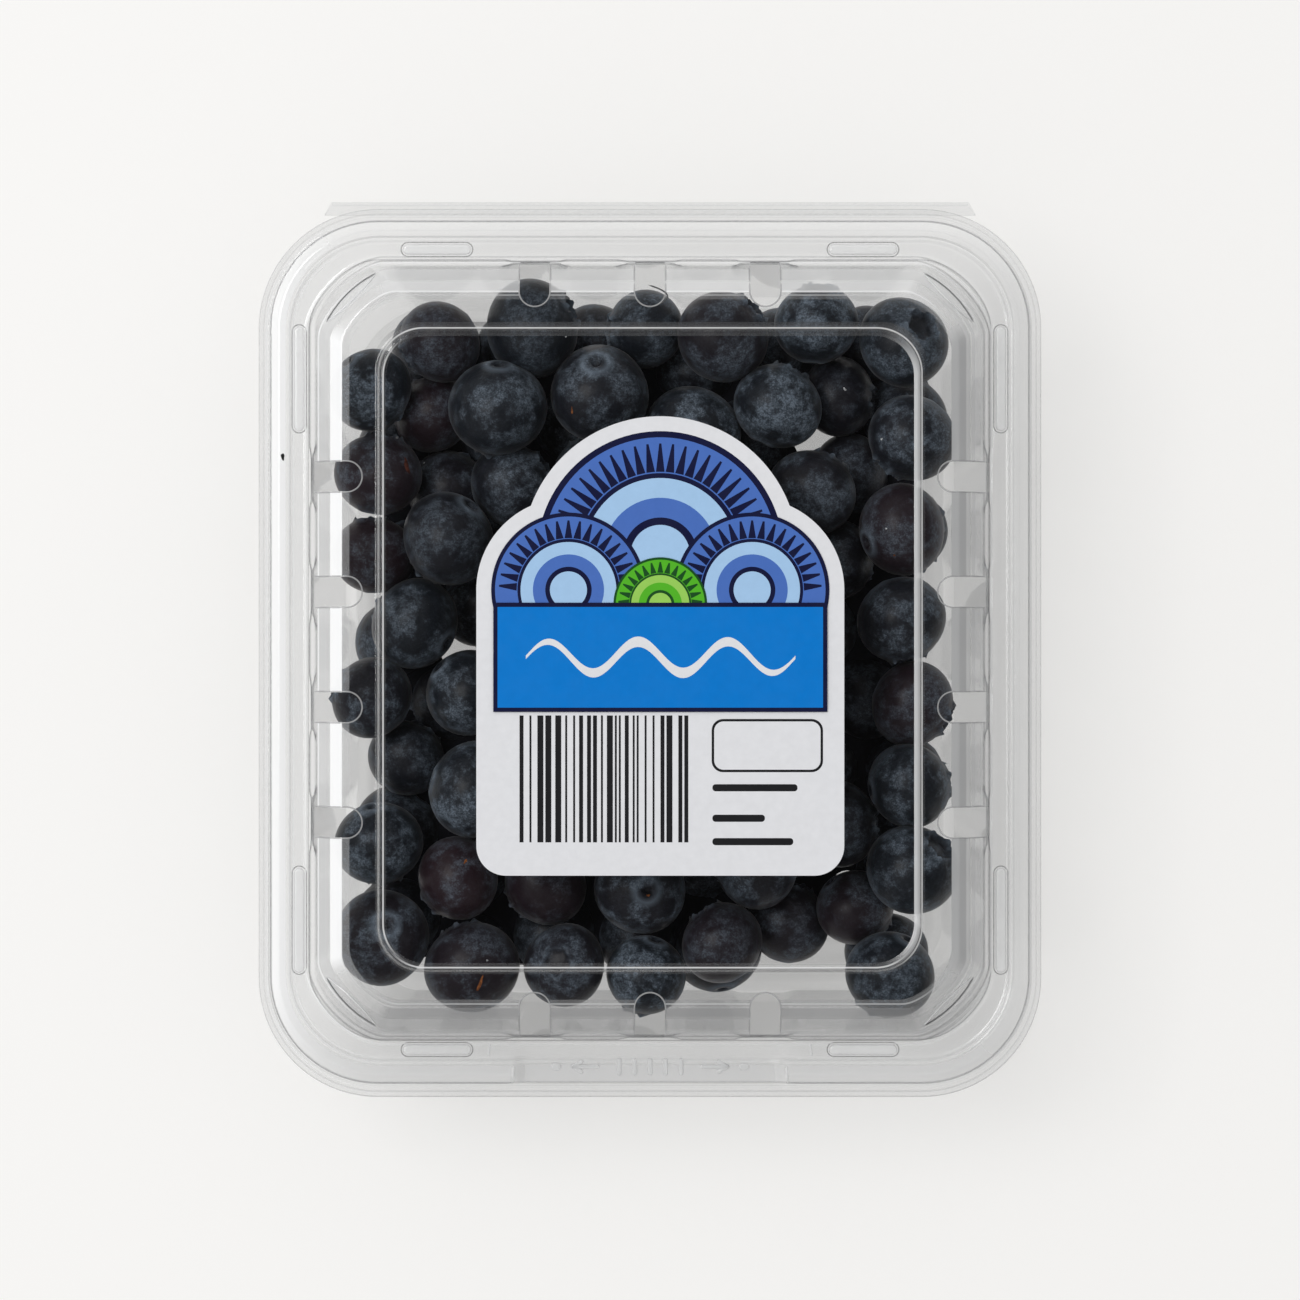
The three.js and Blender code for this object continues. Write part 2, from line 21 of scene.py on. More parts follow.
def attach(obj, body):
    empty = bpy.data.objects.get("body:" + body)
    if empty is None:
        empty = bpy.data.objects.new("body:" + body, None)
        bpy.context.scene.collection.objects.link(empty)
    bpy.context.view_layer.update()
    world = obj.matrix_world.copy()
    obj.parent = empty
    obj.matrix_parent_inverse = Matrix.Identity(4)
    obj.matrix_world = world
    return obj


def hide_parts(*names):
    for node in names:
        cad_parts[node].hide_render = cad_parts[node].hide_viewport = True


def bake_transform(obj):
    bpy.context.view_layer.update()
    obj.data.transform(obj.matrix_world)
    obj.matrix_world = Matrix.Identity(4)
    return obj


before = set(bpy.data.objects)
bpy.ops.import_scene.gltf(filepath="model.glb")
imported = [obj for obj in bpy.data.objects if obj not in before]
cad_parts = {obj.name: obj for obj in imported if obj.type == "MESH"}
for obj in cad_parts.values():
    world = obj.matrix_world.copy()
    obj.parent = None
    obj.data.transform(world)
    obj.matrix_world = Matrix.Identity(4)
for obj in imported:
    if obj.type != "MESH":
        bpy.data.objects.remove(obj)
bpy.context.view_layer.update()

Array = np.ndarray
Part = tuple[Array, Array, Array]
Span = tuple[tuple[float, float], tuple[float, float]]
Colour = tuple[float, float, float]
MM = 0.001
ROUND = math.sqrt(0.5)
SHARP_DEGREES = 40.0
OVERHEAD = 50 * MM
DOWN = Vector((0.0, 0.0, -1.0))
log = logging.getLogger("punnet")


def smooth(share: Array) -> Array:
    """Eases a share from 0 to 1 with flat ends."""
    inside = np.clip(share, 0.0, 1.0)
    return inside * inside * (3.0 - 2.0 * inside)


def spaced(count: int, pitch: float) -> Array:
    """Gives the middles of a row of evenly spaced features."""
    return (np.arange(count) - (count - 1) / 2) * pitch


def new_mesh(name: str, points: Array, *face_sets: Array) -> bpy.types.Mesh:
    """Makes a mesh from whole arrays.

    Args:
        name: the mesh's name.
        points: the vertices, any shape that ends in three.
        face_sets: arrays of vertex numbers, one row a face, each of one face size.

    Returns:
        The new mesh, with its edges made.
    """
    mesh = bpy.data.meshes.new(name)
    flat = np.asarray(points, np.float32).reshape(-1, 3)
    sets = [np.asarray(faces, np.int32) for faces in face_sets if len(faces)]
    corners = np.concatenate([faces.ravel() for faces in sets])
    sizes = np.concatenate([np.full(len(faces), faces.shape[1]) for faces in sets])
    starts = np.concatenate([[0], np.cumsum(sizes)[:-1]]).astype(np.int32)
    mesh.vertices.add(len(flat))
    mesh.vertices.foreach_set("co", flat.ravel())
    mesh.loops.add(len(corners))
    mesh.loops.foreach_set("vertex_index", corners)
    mesh.polygons.add(len(sizes))
    mesh.polygons.foreach_set("loop_start", starts)
    mesh.update(calc_edges=True)
    return mesh


def grid_faces(rows: int, columns: int) -> Array:
    """Numbers the quads of a grid whose columns close on themselves."""
    row, column = np.meshgrid(np.arange(rows - 1), np.arange(columns), indexing="ij")
    here = (row * columns + column).ravel()
    beside = (row * columns + (column + 1) % columns).ravel()
    return np.stack([here, beside, beside + columns, here + columns], axis=1)


def add_object(mesh: bpy.types.Mesh, body: str) -> bpy.types.Object:
    """Links a mesh as a piece that rides on a body."""
    piece = bpy.data.objects.new(mesh.name, mesh)
    bpy.context.scene.collection.objects.link(piece)
    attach(piece, body)
    return piece


def tidy_normals(mesh: bpy.types.Mesh, sharp_degrees: float = SHARP_DEGREES) -> None:
    """Merges coincident points, turns every face outward and smooths all but sharp edges."""
    work = bmesh.new()
    work.from_mesh(mesh)
    bmesh.ops.remove_doubles(work, verts=work.verts, dist=1e-6)
    bmesh.ops.recalc_face_normals(work, faces=work.faces)
    work.to_mesh(mesh)
    work.free()
    mesh.shade_smooth()
    mesh.set_sharp_from_angle(angle=math.radians(sharp_degrees))


def add_faces(piece: bpy.types.Object, addition: bpy.types.Mesh) -> None:
    """Moves the faces of a mesh into a piece and smooths all but its sharp edges."""
    work = bmesh.new()
    work.from_mesh(piece.data)
    work.from_mesh(addition)
    work.to_mesh(piece.data)
    work.free()
    bpy.data.meshes.remove(addition)
    piece.data.shade_smooth()
    piece.data.set_sharp_from_angle(angle=math.radians(SHARP_DEGREES))


def surface_tree(piece: bpy.types.Object) -> BVHTree:
    """Makes the tree that rays are sent into to find a piece's surface."""
    work = bmesh.new()
    work.from_mesh(piece.data)
    tree = BVHTree.FromBMesh(work)
    work.free()
    return tree


def dress(piece: bpy.types.Object, material: bpy.types.Material) -> None:
    """Gives a piece one material in place of any that a cut left on it."""
    piece.data.materials.clear()
    piece.data.materials.append(material)


class NodeKit:
    """Adds and links shader nodes in one material."""

    def __init__(self, name: str) -> None:
        """Makes an empty node material of this name."""
        self.material = bpy.data.materials.new(name)
        self.material.use_nodes = True
        self.tree = self.material.node_tree
        self.tree.nodes.clear()
        self.output = self.add("ShaderNodeOutputMaterial")
        self.place = self.add("ShaderNodeTexCoord").outputs["Object"]

    def add(self, kind: str, **values: object) -> bpy.types.Node:
        """Adds a node and sets its properties and input sockets by name."""
        node = self.tree.nodes.new(kind)
        for key, value in values.items():
            if hasattr(node, key):
                setattr(node, key, value)
            else:
                node.inputs[key.replace("_", " ")].default_value = value
        return node

    def link(self, source: bpy.types.NodeSocket, target: bpy.types.NodeSocket) -> None:
        """Joins an output to an input."""
        self.tree.links.new(source, target)

    def noise(self, scale: float, detail: float = 2.0, rough: float = 0.5) -> bpy.types.NodeSocket:
        """Gives noise over the object's own coordinates, with a scale in cycles a metre."""
        node = self.add("ShaderNodeTexNoise", Scale=scale, Detail=detail, Roughness=rough)
        self.link(self.place, node.inputs["Vector"])
        return node.outputs["Fac"]

    def math(self, kind: str, a: object, b: object = 0.0, c: object = 0.0) -> bpy.types.NodeSocket:
        """Applies a math operation to sockets or numbers."""
        node = self.add("ShaderNodeMath", operation=kind)
        for socket, value in zip(node.inputs, (a, b, c)):
            if isinstance(value, bpy.types.NodeSocket):
                self.link(value, socket)
            else:
                socket.default_value = value
        return node.outputs[0]

    def remap(self, value: bpy.types.NodeSocket, low: float, high: float,
              to_low: float = 0.0, to_high: float = 1.0) -> bpy.types.NodeSocket:
        """Maps a range smoothly onto another."""
        node = self.add("ShaderNodeMapRange", interpolation_type="SMOOTHSTEP")
        self.link(value, node.inputs["Value"])
        for name, number in (("From Min", low), ("From Max", high), ("To Min", to_low), ("To Max", to_high)):
            node.inputs[name].default_value = number
        return node.outputs["Result"]

    def mix(self, share: object, a: object, b: object) -> bpy.types.NodeSocket:
        """Mixes two colours, each a socket or a triple of numbers."""
        node = self.add("ShaderNodeMix", data_type="RGBA")
        for socket, value in ((node.inputs[0], share), (node.inputs[6], a), (node.inputs[7], b)):
            if isinstance(value, bpy.types.NodeSocket):
                self.link(value, socket)
            elif isinstance(value, tuple):
                socket.default_value = (*value, 1.0)
            else:
                socket.default_value = value
        return node.outputs[2]

    def bump(self, height: bpy.types.NodeSocket, distance: float,
             strength: float = 1.0) -> bpy.types.NodeSocket:
        """Turns a height into a bumped normal."""
        node = self.add("ShaderNodeBump", Distance=distance, Strength=strength)
        self.link(height, node.inputs["Height"])
        return node.outputs["Normal"]

    def principled(self, **values: object) -> bpy.types.Node:
        """Adds a Principled shader with its constants on its own sockets."""
        return self.add("ShaderNodeBsdfPrincipled", **values)

    def finish(self, shader: bpy.types.NodeSocket) -> bpy.types.Material:
        """Links the shader to the output and gives the material."""
        self.link(shader, self.output.inputs["Surface"])
        return self.material


@dataclass(frozen=True)
class ClearSheetFinish:
    """Clear moulded plastic sheet: see-through face on, darker and shiny at a slant, with painted highlights
    and painted shade where it bends.
    """

    name: str = "clear_plastic"
    # How far the painted layer covers the sheet where it is seen edge on: painted shade, or a trace's own
    # painted light where one lies.
    edge_painted_light: float = 0.4
    gloss: float = 0.04
    ripple: float = 0.02 * MM
    least_shine: float = 0.032
    slant_shine: float = 0.9
    face_on: Colour = (0.994, 0.995, 0.996)
    edge_on: Colour = (0.30, 0.31, 0.33)
    # The two ends of the painted layer's tone: painted shade and painted highlight.
    dark: Colour = (0.015, 0.017, 0.02)
    bright: Colour = (0.94, 0.945, 0.95)

    def material(self) -> bpy.types.Material:
        """Builds the material.

        Returns:
            A mix of three layers: a transparent body that darkens at a slant, a layer of
            painted highlight and painted shade where the UV map of painted light gives one, or
            the sheet is seen edge on (painted shade there unless a trace gives a tone), and a
            gloss that follows Schlick's rule, rippled by a slow noise and dimmed where painted
            shade covers the sheet.
        """
        kit = NodeKit(self.name)
        ripple = kit.bump(kit.noise(60.0, 1.0), self.ripple)
        weight = kit.add("ShaderNodeLayerWeight", Blend=0.5)
        slant = weight.outputs["Facing"]
        clear = kit.add("ShaderNodeBsdfTransparent")
        kit.link(kit.mix(kit.remap(slant, 0.66, 0.97), self.face_on, self.edge_on), clear.inputs["Color"])
        # The UV map of painted light: how much painted highlight or shade covers the sheet, and that cover
        # times its tone.
        painted_light_map = kit.add("ShaderNodeUVMap", uv_map="painted_light")
        parts = kit.add("ShaderNodeSeparateXYZ")
        kit.link(painted_light_map.outputs[0], parts.inputs[0])
        cover = parts.outputs[0]
        tone = kit.math("DIVIDE", parts.outputs[1], kit.math("MAXIMUM", cover, 0.001))
        # The painted layer itself, from painted shade to painted highlight.
        painted_light_shader = kit.principled(Roughness=0.3)
        kit.link(kit.mix(tone, self.dark, self.bright), painted_light_shader.inputs["Base Color"])
        painted_light = kit.add("ShaderNodeMixShader")
        at_edge = kit.remap(slant, 0.84, 0.98, 0.0, self.edge_painted_light)
        kit.link(kit.math("MAXIMUM", cover, at_edge), painted_light.inputs[0])
        kit.link(clear.outputs[0], painted_light.inputs[1])
        kit.link(painted_light_shader.outputs[0], painted_light.inputs[2])
        shine = kit.add("ShaderNodeBsdfGlossy", Roughness=self.gloss)
        kit.link(ripple, shine.inputs["Normal"])
        schlick = kit.math("MULTIPLY_ADD", kit.math("POWER", slant, 5.0), self.slant_shine, self.least_shine)
        final = kit.add("ShaderNodeMixShader")
        # Gloss is dimmed where painted shade covers the sheet.
        painted_shade_share = kit.math("SUBTRACT", cover, parts.outputs[1])
        kit.link(kit.math("MULTIPLY", schlick, kit.math("SUBTRACT", 1.0, painted_shade_share)), final.inputs[0])
        kit.link(painted_light.outputs[0], final.inputs[1])
        kit.link(shine.outputs[0], final.inputs[2])
        return kit.finish(final.outputs[0])


@dataclass(frozen=True)
class BerryFinish:
    """Dark blue skin under an uneven pale bloom, with a dry dark crown."""

    name: str = "berry_skin"
    skin: Colour = (0.0050, 0.0064, 0.0098)
    ripe_red: Colour = (0.0175, 0.0070, 0.0098)
    bloom: Colour = (0.150, 0.185, 0.228)
    crown: Colour = (0.014, 0.014, 0.017)

    def material(self) -> bpy.types.Material:
        """Builds the material.

        Returns:
            Skin that reads the mesh attribute "tint": red for how much bloom the berry
            has, green for how red it is, blue for the crown's bowl and alpha for its rim.
        """
        kit = NodeKit(self.name)
        tint = kit.add("ShaderNodeAttribute", attribute_name="tint")
        parts = kit.add("ShaderNodeSeparateColor")
        kit.link(tint.outputs["Color"], parts.inputs[0])
        bloom, red, bowl = parts.outputs[0], parts.outputs[1], parts.outputs[2]
        patches = kit.remap(kit.noise(210.0, 5.0, 0.62), 0.43, 0.59)
        rubbed = kit.remap(kit.noise(1100.0, 5.0, 0.8), 0.40, 0.62)
        grain = kit.remap(kit.noise(4200.0, 2.0), 0.38, 0.66)
        cover = kit.math("MULTIPLY_ADD", patches, 0.95, 0.10)
        cover = kit.math("MULTIPLY", cover, kit.math("MULTIPLY_ADD", rubbed, 0.75, 0.25))
        cover = kit.math("MULTIPLY", cover, kit.math("MULTIPLY_ADD", grain, 0.55, 0.55))
        cover = kit.math("MULTIPLY", cover, kit.math("MULTIPLY_ADD", bloom, 1.1, 0.1))
        cover = kit.math("MULTIPLY_ADD", tint.outputs["Alpha"], 0.6, cover)
        skin = kit.mix(red, self.skin, self.ripe_red)
        dusted = kit.mix(cover, skin, self.bloom)
        dry = kit.mix(bowl, dusted, self.crown)
        shader = kit.principled(Specular_IOR_Level=0.16, Sheen_Weight=0.10, Sheen_Roughness=0.35)
        kit.link(dry, shader.inputs["Base Color"])
        kit.link(kit.remap(cover, 0.0, 0.6, 0.34, 0.62), shader.inputs["Roughness"])
        kit.link(kit.bump(kit.noise(1300.0, 4.0), 0.00007, 0.7), shader.inputs["Normal"])
        return kit.finish(shader.outputs[0])


@dataclass(frozen=True)
class PileShadeFinish:
    """Painted shade: the dark middle of the pile, where the light does not reach."""

    name: str = "pile_shade"

    def material(self) -> bpy.types.Material:
        """Builds the material, dark and matt with a slight mottle."""
        kit = NodeKit(self.name)
        shader = kit.principled(Roughness=0.9, Specular_IOR_Level=0.1)
        colour = kit.mix(kit.noise(250.0), (0.006, 0.007, 0.010), (0.014, 0.014, 0.019))
        kit.link(colour, shader.inputs["Base Color"])
        return kit.finish(shader.outputs[0])


class Spot(Enum):
    """The colour of a small spot, as linear red, green and blue."""

    SCAR = (0.34, 0.115, 0.035)
    DULL_SCAR = (0.105, 0.030, 0.018)
    # PALE specks are painted highlights, laid where small glints show on the skin.
    PALE = (0.62, 0.63, 0.64)
    DIRT = (0.006, 0.006, 0.007)

    def material(self) -> bpy.types.Material:
        """Builds a dry, matt spot of this colour, uneven along its length."""
        kit = NodeKit(f"spot_{self.name.lower()}")
        shader = kit.principled(Roughness=0.7, Specular_IOR_Level=0.2)
        dim = tuple(0.35 * part for part in self.value)
        uneven = kit.remap(kit.noise(2600.0, 3.0), 0.35, 0.6)
        kit.link(kit.mix(uneven, dim, self.value), shader.inputs["Base Color"])
        return kit.finish(shader.outputs[0])


class Ink(Enum):
    """The colours of the label, as linear red, green and blue."""

    WHITE = (0.80, 0.805, 0.83)
    NAVY = (0.004, 0.006, 0.040)
    BAND = (0.001, 0.195, 0.640)
    MID = (0.070, 0.165, 0.520)
    PALE = (0.390, 0.600, 0.860)
    GREEN = (0.090, 0.470, 0.020)
    DEEP_GREEN = (0.008, 0.075, 0.012)
    LEAF = (0.330, 0.640, 0.110)
    BLACK = (0.012, 0.012, 0.014)

    def material(self) -> bpy.types.Material:
        """Builds printed, lacquered paper of this colour, a little uneven."""
        kit = NodeKit(f"label_{self.name.lower()}")
        low = tuple(0.93 * part for part in self.value)
        high = tuple(min(1.0, 1.04 * part) for part in self.value)
        shader = kit.principled(Specular_IOR_Level=0.14)
        kit.link(kit.mix(kit.noise(900.0, 3.0), low, high), shader.inputs["Base Color"])
        kit.link(kit.remap(kit.noise(400.0), 0.3, 0.7, 0.34, 0.44), shader.inputs["Roughness"])
        kit.link(kit.bump(kit.noise(2500.0, 2.0), 0.00001), shader.inputs["Normal"])
        return kit.finish(shader.outputs[0])


@dataclass(frozen=True)
class Outline:
    """The pack's outline from above, with its vents, flutes and opening tab."""

    half_width: float = 55.75 * MM
    back_edge: float = 62.75 * MM
    front_extra: float = 1.0 * MM
    rim_width: float = 7.05 * MM
    vent_pitch: float = 16.3 * MM
    vent_width: float = 4.2 * MM
    vent_outer: float = 7.9 * MM
    vent_inner: float = 15.0 * MM
    end_vent_inner: float = 14.2 * MM
    flute_width: float = 6.2 * MM
    flute_depth: float = 0.9 * MM
    ramp: float = 1.4 * MM
    side_steps: int = 92
    corner_steps: int = 22

    @property
    def half_depth(self) -> float:
        """How far the front edge lies from the middle."""
        return self.back_edge + self.front_extra

    def side_middles(self) -> Array:
        """The middles of the four vents or flutes of a side."""
        return spaced(4, self.vent_pitch)

    def end_middles(self) -> Array:
        """The middles of the three vents or flutes of the back and the front."""
        return spaced(3, self.vent_pitch)

    def flute_share(self, along: Array, middles: Array) -> Array:
        """How far places along a side stand out in a flute, from 0 to 1."""
        gaps = np.abs(along[..., None] - middles).min(axis=-1)
        return smooth((self.flute_width / 2 + self.ramp - gaps) / self.ramp)

    def corner(self, half_x: Array, reach: Array, leg: Array, weight: Array) -> Array:
        """One corner of each ring: a conic from its side leg to its end leg.

        Args:
            half_x: half the width of each ring, as a column.
            reach: the distance of each ring's end from the middle, as a column.
            leg: how far each corner starts from the knee, as a column.
            weight: the roundness of each corner, as a column.

        Returns:
            An array of rings by steps by two, from the side to the end.
        """
        t = np.linspace(0.0, 1.0, self.corner_steps + 1)[None, :]
        start, knee, end = (1 - t) ** 2, 2 * weight * t * (1 - t), t ** 2
        total = start + knee + end
        x = (start * half_x + knee * half_x + end * (half_x - leg)) / total
        y = (start * (reach - leg) + knee * reach + end * reach) / total
        return np.stack([x, y], axis=-1)

    def ring_grid(self, rings: Array, tab_half: float) -> Array:
        """Lays each row of a profile out as a closed ring, anticlockwise from above.

        Args:
            rings: rows of inset, height, corner leg, corner weight, the height that the
                opening tab is pressed to, and how deep the flutes are.
            tab_half: half the width of the opening tab.

        Returns:
            An array of rings by stations by three.
        """
        inset, height, leg, weight, tab, flute = (rings[:, i:i + 1] for i in range(6))
        half_x = self.half_width - inset
        back = self.back_edge - inset
        front = back + self.front_extra * np.clip(1 - inset / self.rim_width, 0, 1)
        bulge = self.flute_depth * flute
        share = np.linspace(0.0, 1.0, self.side_steps + 2)[None, 1:-1]
        side_y = -(front - leg) + share * (back + front - 2 * leg)
        side_x = half_x + bulge * self.flute_share(side_y, self.side_middles())
        end_x = (half_x - leg) * (2 * share - 1)
        end_bulge = bulge * self.flute_share(end_x, self.end_middles())
        back_corner = self.corner(half_x, back, leg, weight)
        front_corner = self.corner(half_x, front, leg, weight)
        flat = np.concatenate([
            np.stack([side_x, side_y], axis=-1),
            back_corner,
            np.stack([-end_x, back + end_bulge], axis=-1),
            (back_corner * (-1, 1))[:, ::-1],
            np.stack([-side_x, side_y], axis=-1)[:, ::-1],
            front_corner * (-1, -1),
            np.stack([end_x, -front - end_bulge], axis=-1),
            (front_corner * (1, -1))[:, ::-1],
        ], axis=1)
        pressed = smooth((tab_half + self.ramp - np.abs(flat[..., 0])) / self.ramp)
        pressed = np.where(flat[..., 1] < -self.half_depth / 2, pressed, 0.0)
        z = height + (tab - height) * pressed
        return np.concatenate([flat, z[..., None]], axis=-1)


def ring(inset: float, z: float, leg: float, weight: float = ROUND,
         tab: float | None = None, flute: float = 0.0) -> list[float]:
    """One row of a profile, from millimetres."""
    return [inset * MM, z * MM, leg * MM, weight, (z if tab is None else tab) * MM, flute]


def lowered(rings: Array, distance: float) -> Array:
    """Carries a profile down by a distance, each stretch parallel to itself."""
    along = np.diff(rings[:, :2], axis=0)
    normal = np.stack([along[:, 1], -along[:, 0]], axis=1)
    normal /= np.linalg.norm(normal, axis=1, keepdims=True)
    before = np.concatenate([normal[:1], normal])
    after = np.concatenate([normal, normal[-1:]])
    reach = distance / (1 + (before * after).sum(axis=1, keepdims=True))
    shift = reach * (before + after)
    moved = rings.copy()
    moved[:, :2] += shift
    moved[:, 2] -= shift[:, 0]
    moved[:, 4] = np.where(rings[:, 4] == rings[:, 1], moved[:, 1], rings[:, 4] - distance)
    return moved


def rounded(rings: Array, radius: float, steps: int = 4) -> Array:
    """Rounds each bend of a profile with a quadratic curve that starts at the radius."""
    t = np.linspace(0.0, 1.0, steps)[:, None]
    parts = [rings[:1]]
    for before, at, after in zip(rings[:-2], rings[1:-1], rings[2:]):
        back = min(0.46, radius / np.hypot(*(before - at)[:2]))
        on = min(0.46, radius / np.hypot(*(after - at)[:2]))
        start, end = at + back * (before - at), at + on * (after - at)
        parts.append((1 - t) ** 2 * start + 2 * t * (1 - t) * at + t ** 2 * end)
    return np.concatenate([*parts, rings[-1:]])


@dataclass(frozen=True)
class PaintedTrace:
    """A fine line or band of painted light that the sheet shows from above where it bends: a painted
    highlight where its tone is bright, painted shade where it is dark.

    Its place is in millimetres in from the outline. How much it covers, and how bright
    it is, are given for the left, right, back and front, each side lit or shaded as the
    light falls from the left, and blend round the corners, where only a share of it is left.
    """

    start: float
    end: float
    cover: tuple[float, float, float, float]
    tone: tuple[float, float, float, float]
    corner: float = 1.0
    fade: float = 0.06


def refined(rings: Array, traces: tuple[PaintedTrace, ...], least: float = 0.025 * MM) -> Array:
    """Adds rings where traces start and end, on the profile's own line."""
    edges = [np.array([t.start - t.fade, t.start, t.end, t.end + t.fade]) * MM for t in traces]
    places = np.sort(np.concatenate([rings[:, 0], *edges]))
    places = places[(places >= rings[0, 0]) & (places <= rings[-1, 0])]
    places = places[np.concatenate([[True], np.diff(places) > least])]
    return np.stack([np.interp(places, rings[:, 0], column) for column in rings.T], axis=1)


def painted_light_grid(outline_ring: Array, insets: Array, traces: tuple[PaintedTrace, ...]) -> Array:
    """Lays the painted light of the traces over a grid of rings and stations.

    Args:
        outline_ring: the points of the outermost ring.
        insets: how far in each ring lies.
        traces: the traces, later ones over earlier ones.

    Returns:
        An array of rings by stations by two: the cover of painted light, and the cover
        times its tone. The four sides blend by the squared parts of the outline's outward direction.
    """
    tangent = np.roll(outline_ring, -1, axis=0) - np.roll(outline_ring, 1, axis=0)
    x, y = np.stack([tangent[:, 1], -tangent[:, 0]]) / np.linalg.norm(tangent[:, :2], axis=1)
    sides = np.stack([np.minimum(x, 0), np.maximum(x, 0), np.maximum(y, 0), np.minimum(y, 0)]) ** 2
    grid = np.zeros((len(insets), len(outline_ring), 2))
    place = insets / MM
    for trace in traces:
        near = np.clip((place - trace.start) / trace.fade + 1, 0, 1)
        near = near * np.clip((trace.end - place) / trace.fade + 1, 0, 1)
        left = 1 - (1 - trace.corner) * np.minimum(1, 6 * (x * y) ** 2)
        share = near[:, None] * (left * (np.array(trace.cover) @ sides))
        tone = np.array(trace.tone) @ sides
        grid = grid * (1 - share[..., None]) + np.stack([share, share * tone], axis=-1)
    return grid


def closing_rings(last: Array, outline: Outline, count: int = 6) -> Array:
    """Carries the last ring of a profile in to the middle line, where its sides meet."""
    share = np.linspace(0.0, 1.0, count + 1)[1:, None]
    centre = last.copy()
    centre[0] = outline.half_width
    centre[2] = 0.0
    return last + share * (centre - last)


class Sheet:
    """A moulded sheet: a profile carried round the outline, with its own thickness."""

    def __init__(self, outline: Outline, thickness: float) -> None:
        """Keeps the outline and the sheet's thickness."""
        self.outline = outline
        self.thickness = thickness

    def shell(self, name: str, rings: Array, tab_half: float, traces: tuple[PaintedTrace, ...]) -> bpy.types.Mesh:
        """Builds the closed shell.

        Args:
            name: the mesh's name.
            rings: the profile of the upper skin, from the lip to the middle line.
            tab_half: half the width of the opening tab.
            traces: the painted lines and bands of highlight and shade on the upper skin.

        Returns:
            A mesh whose upper skin is the profile carried round the outline and whose
            lower skin lies one thickness straight under it, as a drawn sheet is thinner
            where it is steep. The two meet at the lip, and each closes on the middle
            line. Its UV map of painted light holds the traces' painted highlights and shade.
        """
        upper = self.outline.ring_grid(rings, tab_half)
        lower = upper - (0.0, 0.0, self.thickness)
        count, around = upper.shape[:2]
        faces = grid_faces(2 * count, around)
        mesh = new_mesh(name, np.concatenate([upper[::-1], lower]), faces)
        painted_light = painted_light_grid(upper[0], rings[:, 0], traces)
        values = np.concatenate([painted_light[::-1], np.zeros_like(painted_light)]).reshape(-1, 2)
        layer = mesh.uv_layers.new(name="painted_light")
        layer.uv.foreach_set("vector", values[faces.ravel()].astype(np.float32).ravel())
        return mesh


def stadium(start: tuple[float, float], end: tuple[float, float], width: float, steps: int = 14) -> Array:
    """The outline of a slot with round ends between two points, anticlockwise."""
    turn = math.atan2(end[1] - start[1], end[0] - start[0])
    half = np.linspace(-math.pi / 2, math.pi / 2, steps)
    ends = [np.stack([np.cos(angle), np.sin(angle)], axis=1) * width / 2 + place
            for angle, place in ((turn + half, end), (turn + half + math.pi, start))]
    return np.concatenate(ends)


def prism(outline: Array, low: float, high: float) -> Part:
    """An upright prism on an outline with caps fanned from its middle.

    Args:
        outline: the points of the foot, anticlockwise.
        low: the height of the foot.
        high: the height of the top.

    Returns:
        The points, the side quads and the cap triangles.
    """
    count = len(outline)
    levels = [np.column_stack([outline, np.full(count, z)]) for z in (low, high)]
    middle = outline.mean(axis=0)
    points = np.concatenate([*levels, [[*middle, low], [*middle, high]]])
    here = np.arange(count)
    beside = (here + 1) % count
    sides = np.stack([here, beside, beside + count, here + count], axis=1)
    foot = np.stack([beside, here, np.full(count, 2 * count)], axis=1)
    top = np.stack([here + count, beside + count, np.full(count, 2 * count + 1)], axis=1)
    return points, sides, np.concatenate([foot, top])


def joined(name: str, parts: list[Part]) -> bpy.types.Mesh:
    """Joins parts of points, quads and triangles into one mesh."""
    starts = np.cumsum([0] + [len(part[0]) for part in parts[:-1]])
    points = np.concatenate([part[0] for part in parts])
    quads = np.concatenate([part[1] + start for part, start in zip(parts, starts)])
    triangles = np.concatenate([part[2] + start for part, start in zip(parts, starts)])
    return new_mesh(name, points, quads, triangles)


def painted_light_mesh(name: str, groups: list[tuple[tuple[float, float], list[Part]]]) -> bpy.types.Mesh:
    """Joins groups of parts, each with its painted highlight or painted shade, into one mesh.

    Args:
        name: the mesh's name.
        groups: for each group how much its painted light covers and how bright it is, and its parts.

    Returns:
        The mesh, whose UV map of painted light holds each group's cover and its cover times its tone.
    """
    rows = [((cover, cover * tone), part) for (cover, tone), parts in groups for part in parts]
    mesh = joined(name, [part for _, part in rows])
    values = [np.tile(row, (sides * len(part[sort]), 1))
              for sort, sides in ((1, 4), (2, 3)) for row, part in rows]
    layer = mesh.uv_layers.new(name="painted_light")
    layer.uv.foreach_set("vector", np.concatenate(values).astype(np.float32).ravel())
    return mesh


def cut(piece: bpy.types.Object, cutter: bpy.types.Mesh) -> None:
    """Cuts a mesh out of a piece and keeps the result as the piece's own mesh."""
    tool = bpy.data.objects.new(cutter.name, cutter)
    bpy.context.scene.collection.objects.link(tool)
    modifier = piece.modifiers.new("cut", "BOOLEAN")
    modifier.operation = "DIFFERENCE"
    modifier.solver = "EXACT"
    modifier.object = tool
    graph = bpy.context.evaluated_depsgraph_get()
    result = bpy.data.meshes.new_from_object(piece.evaluated_get(graph))
    piece.modifiers.clear()
    old, name = piece.data, piece.data.name
    piece.data = result
    bpy.data.meshes.remove(old)
    result.name = name
    bpy.data.objects.remove(tool)
    bpy.data.meshes.remove(cutter)


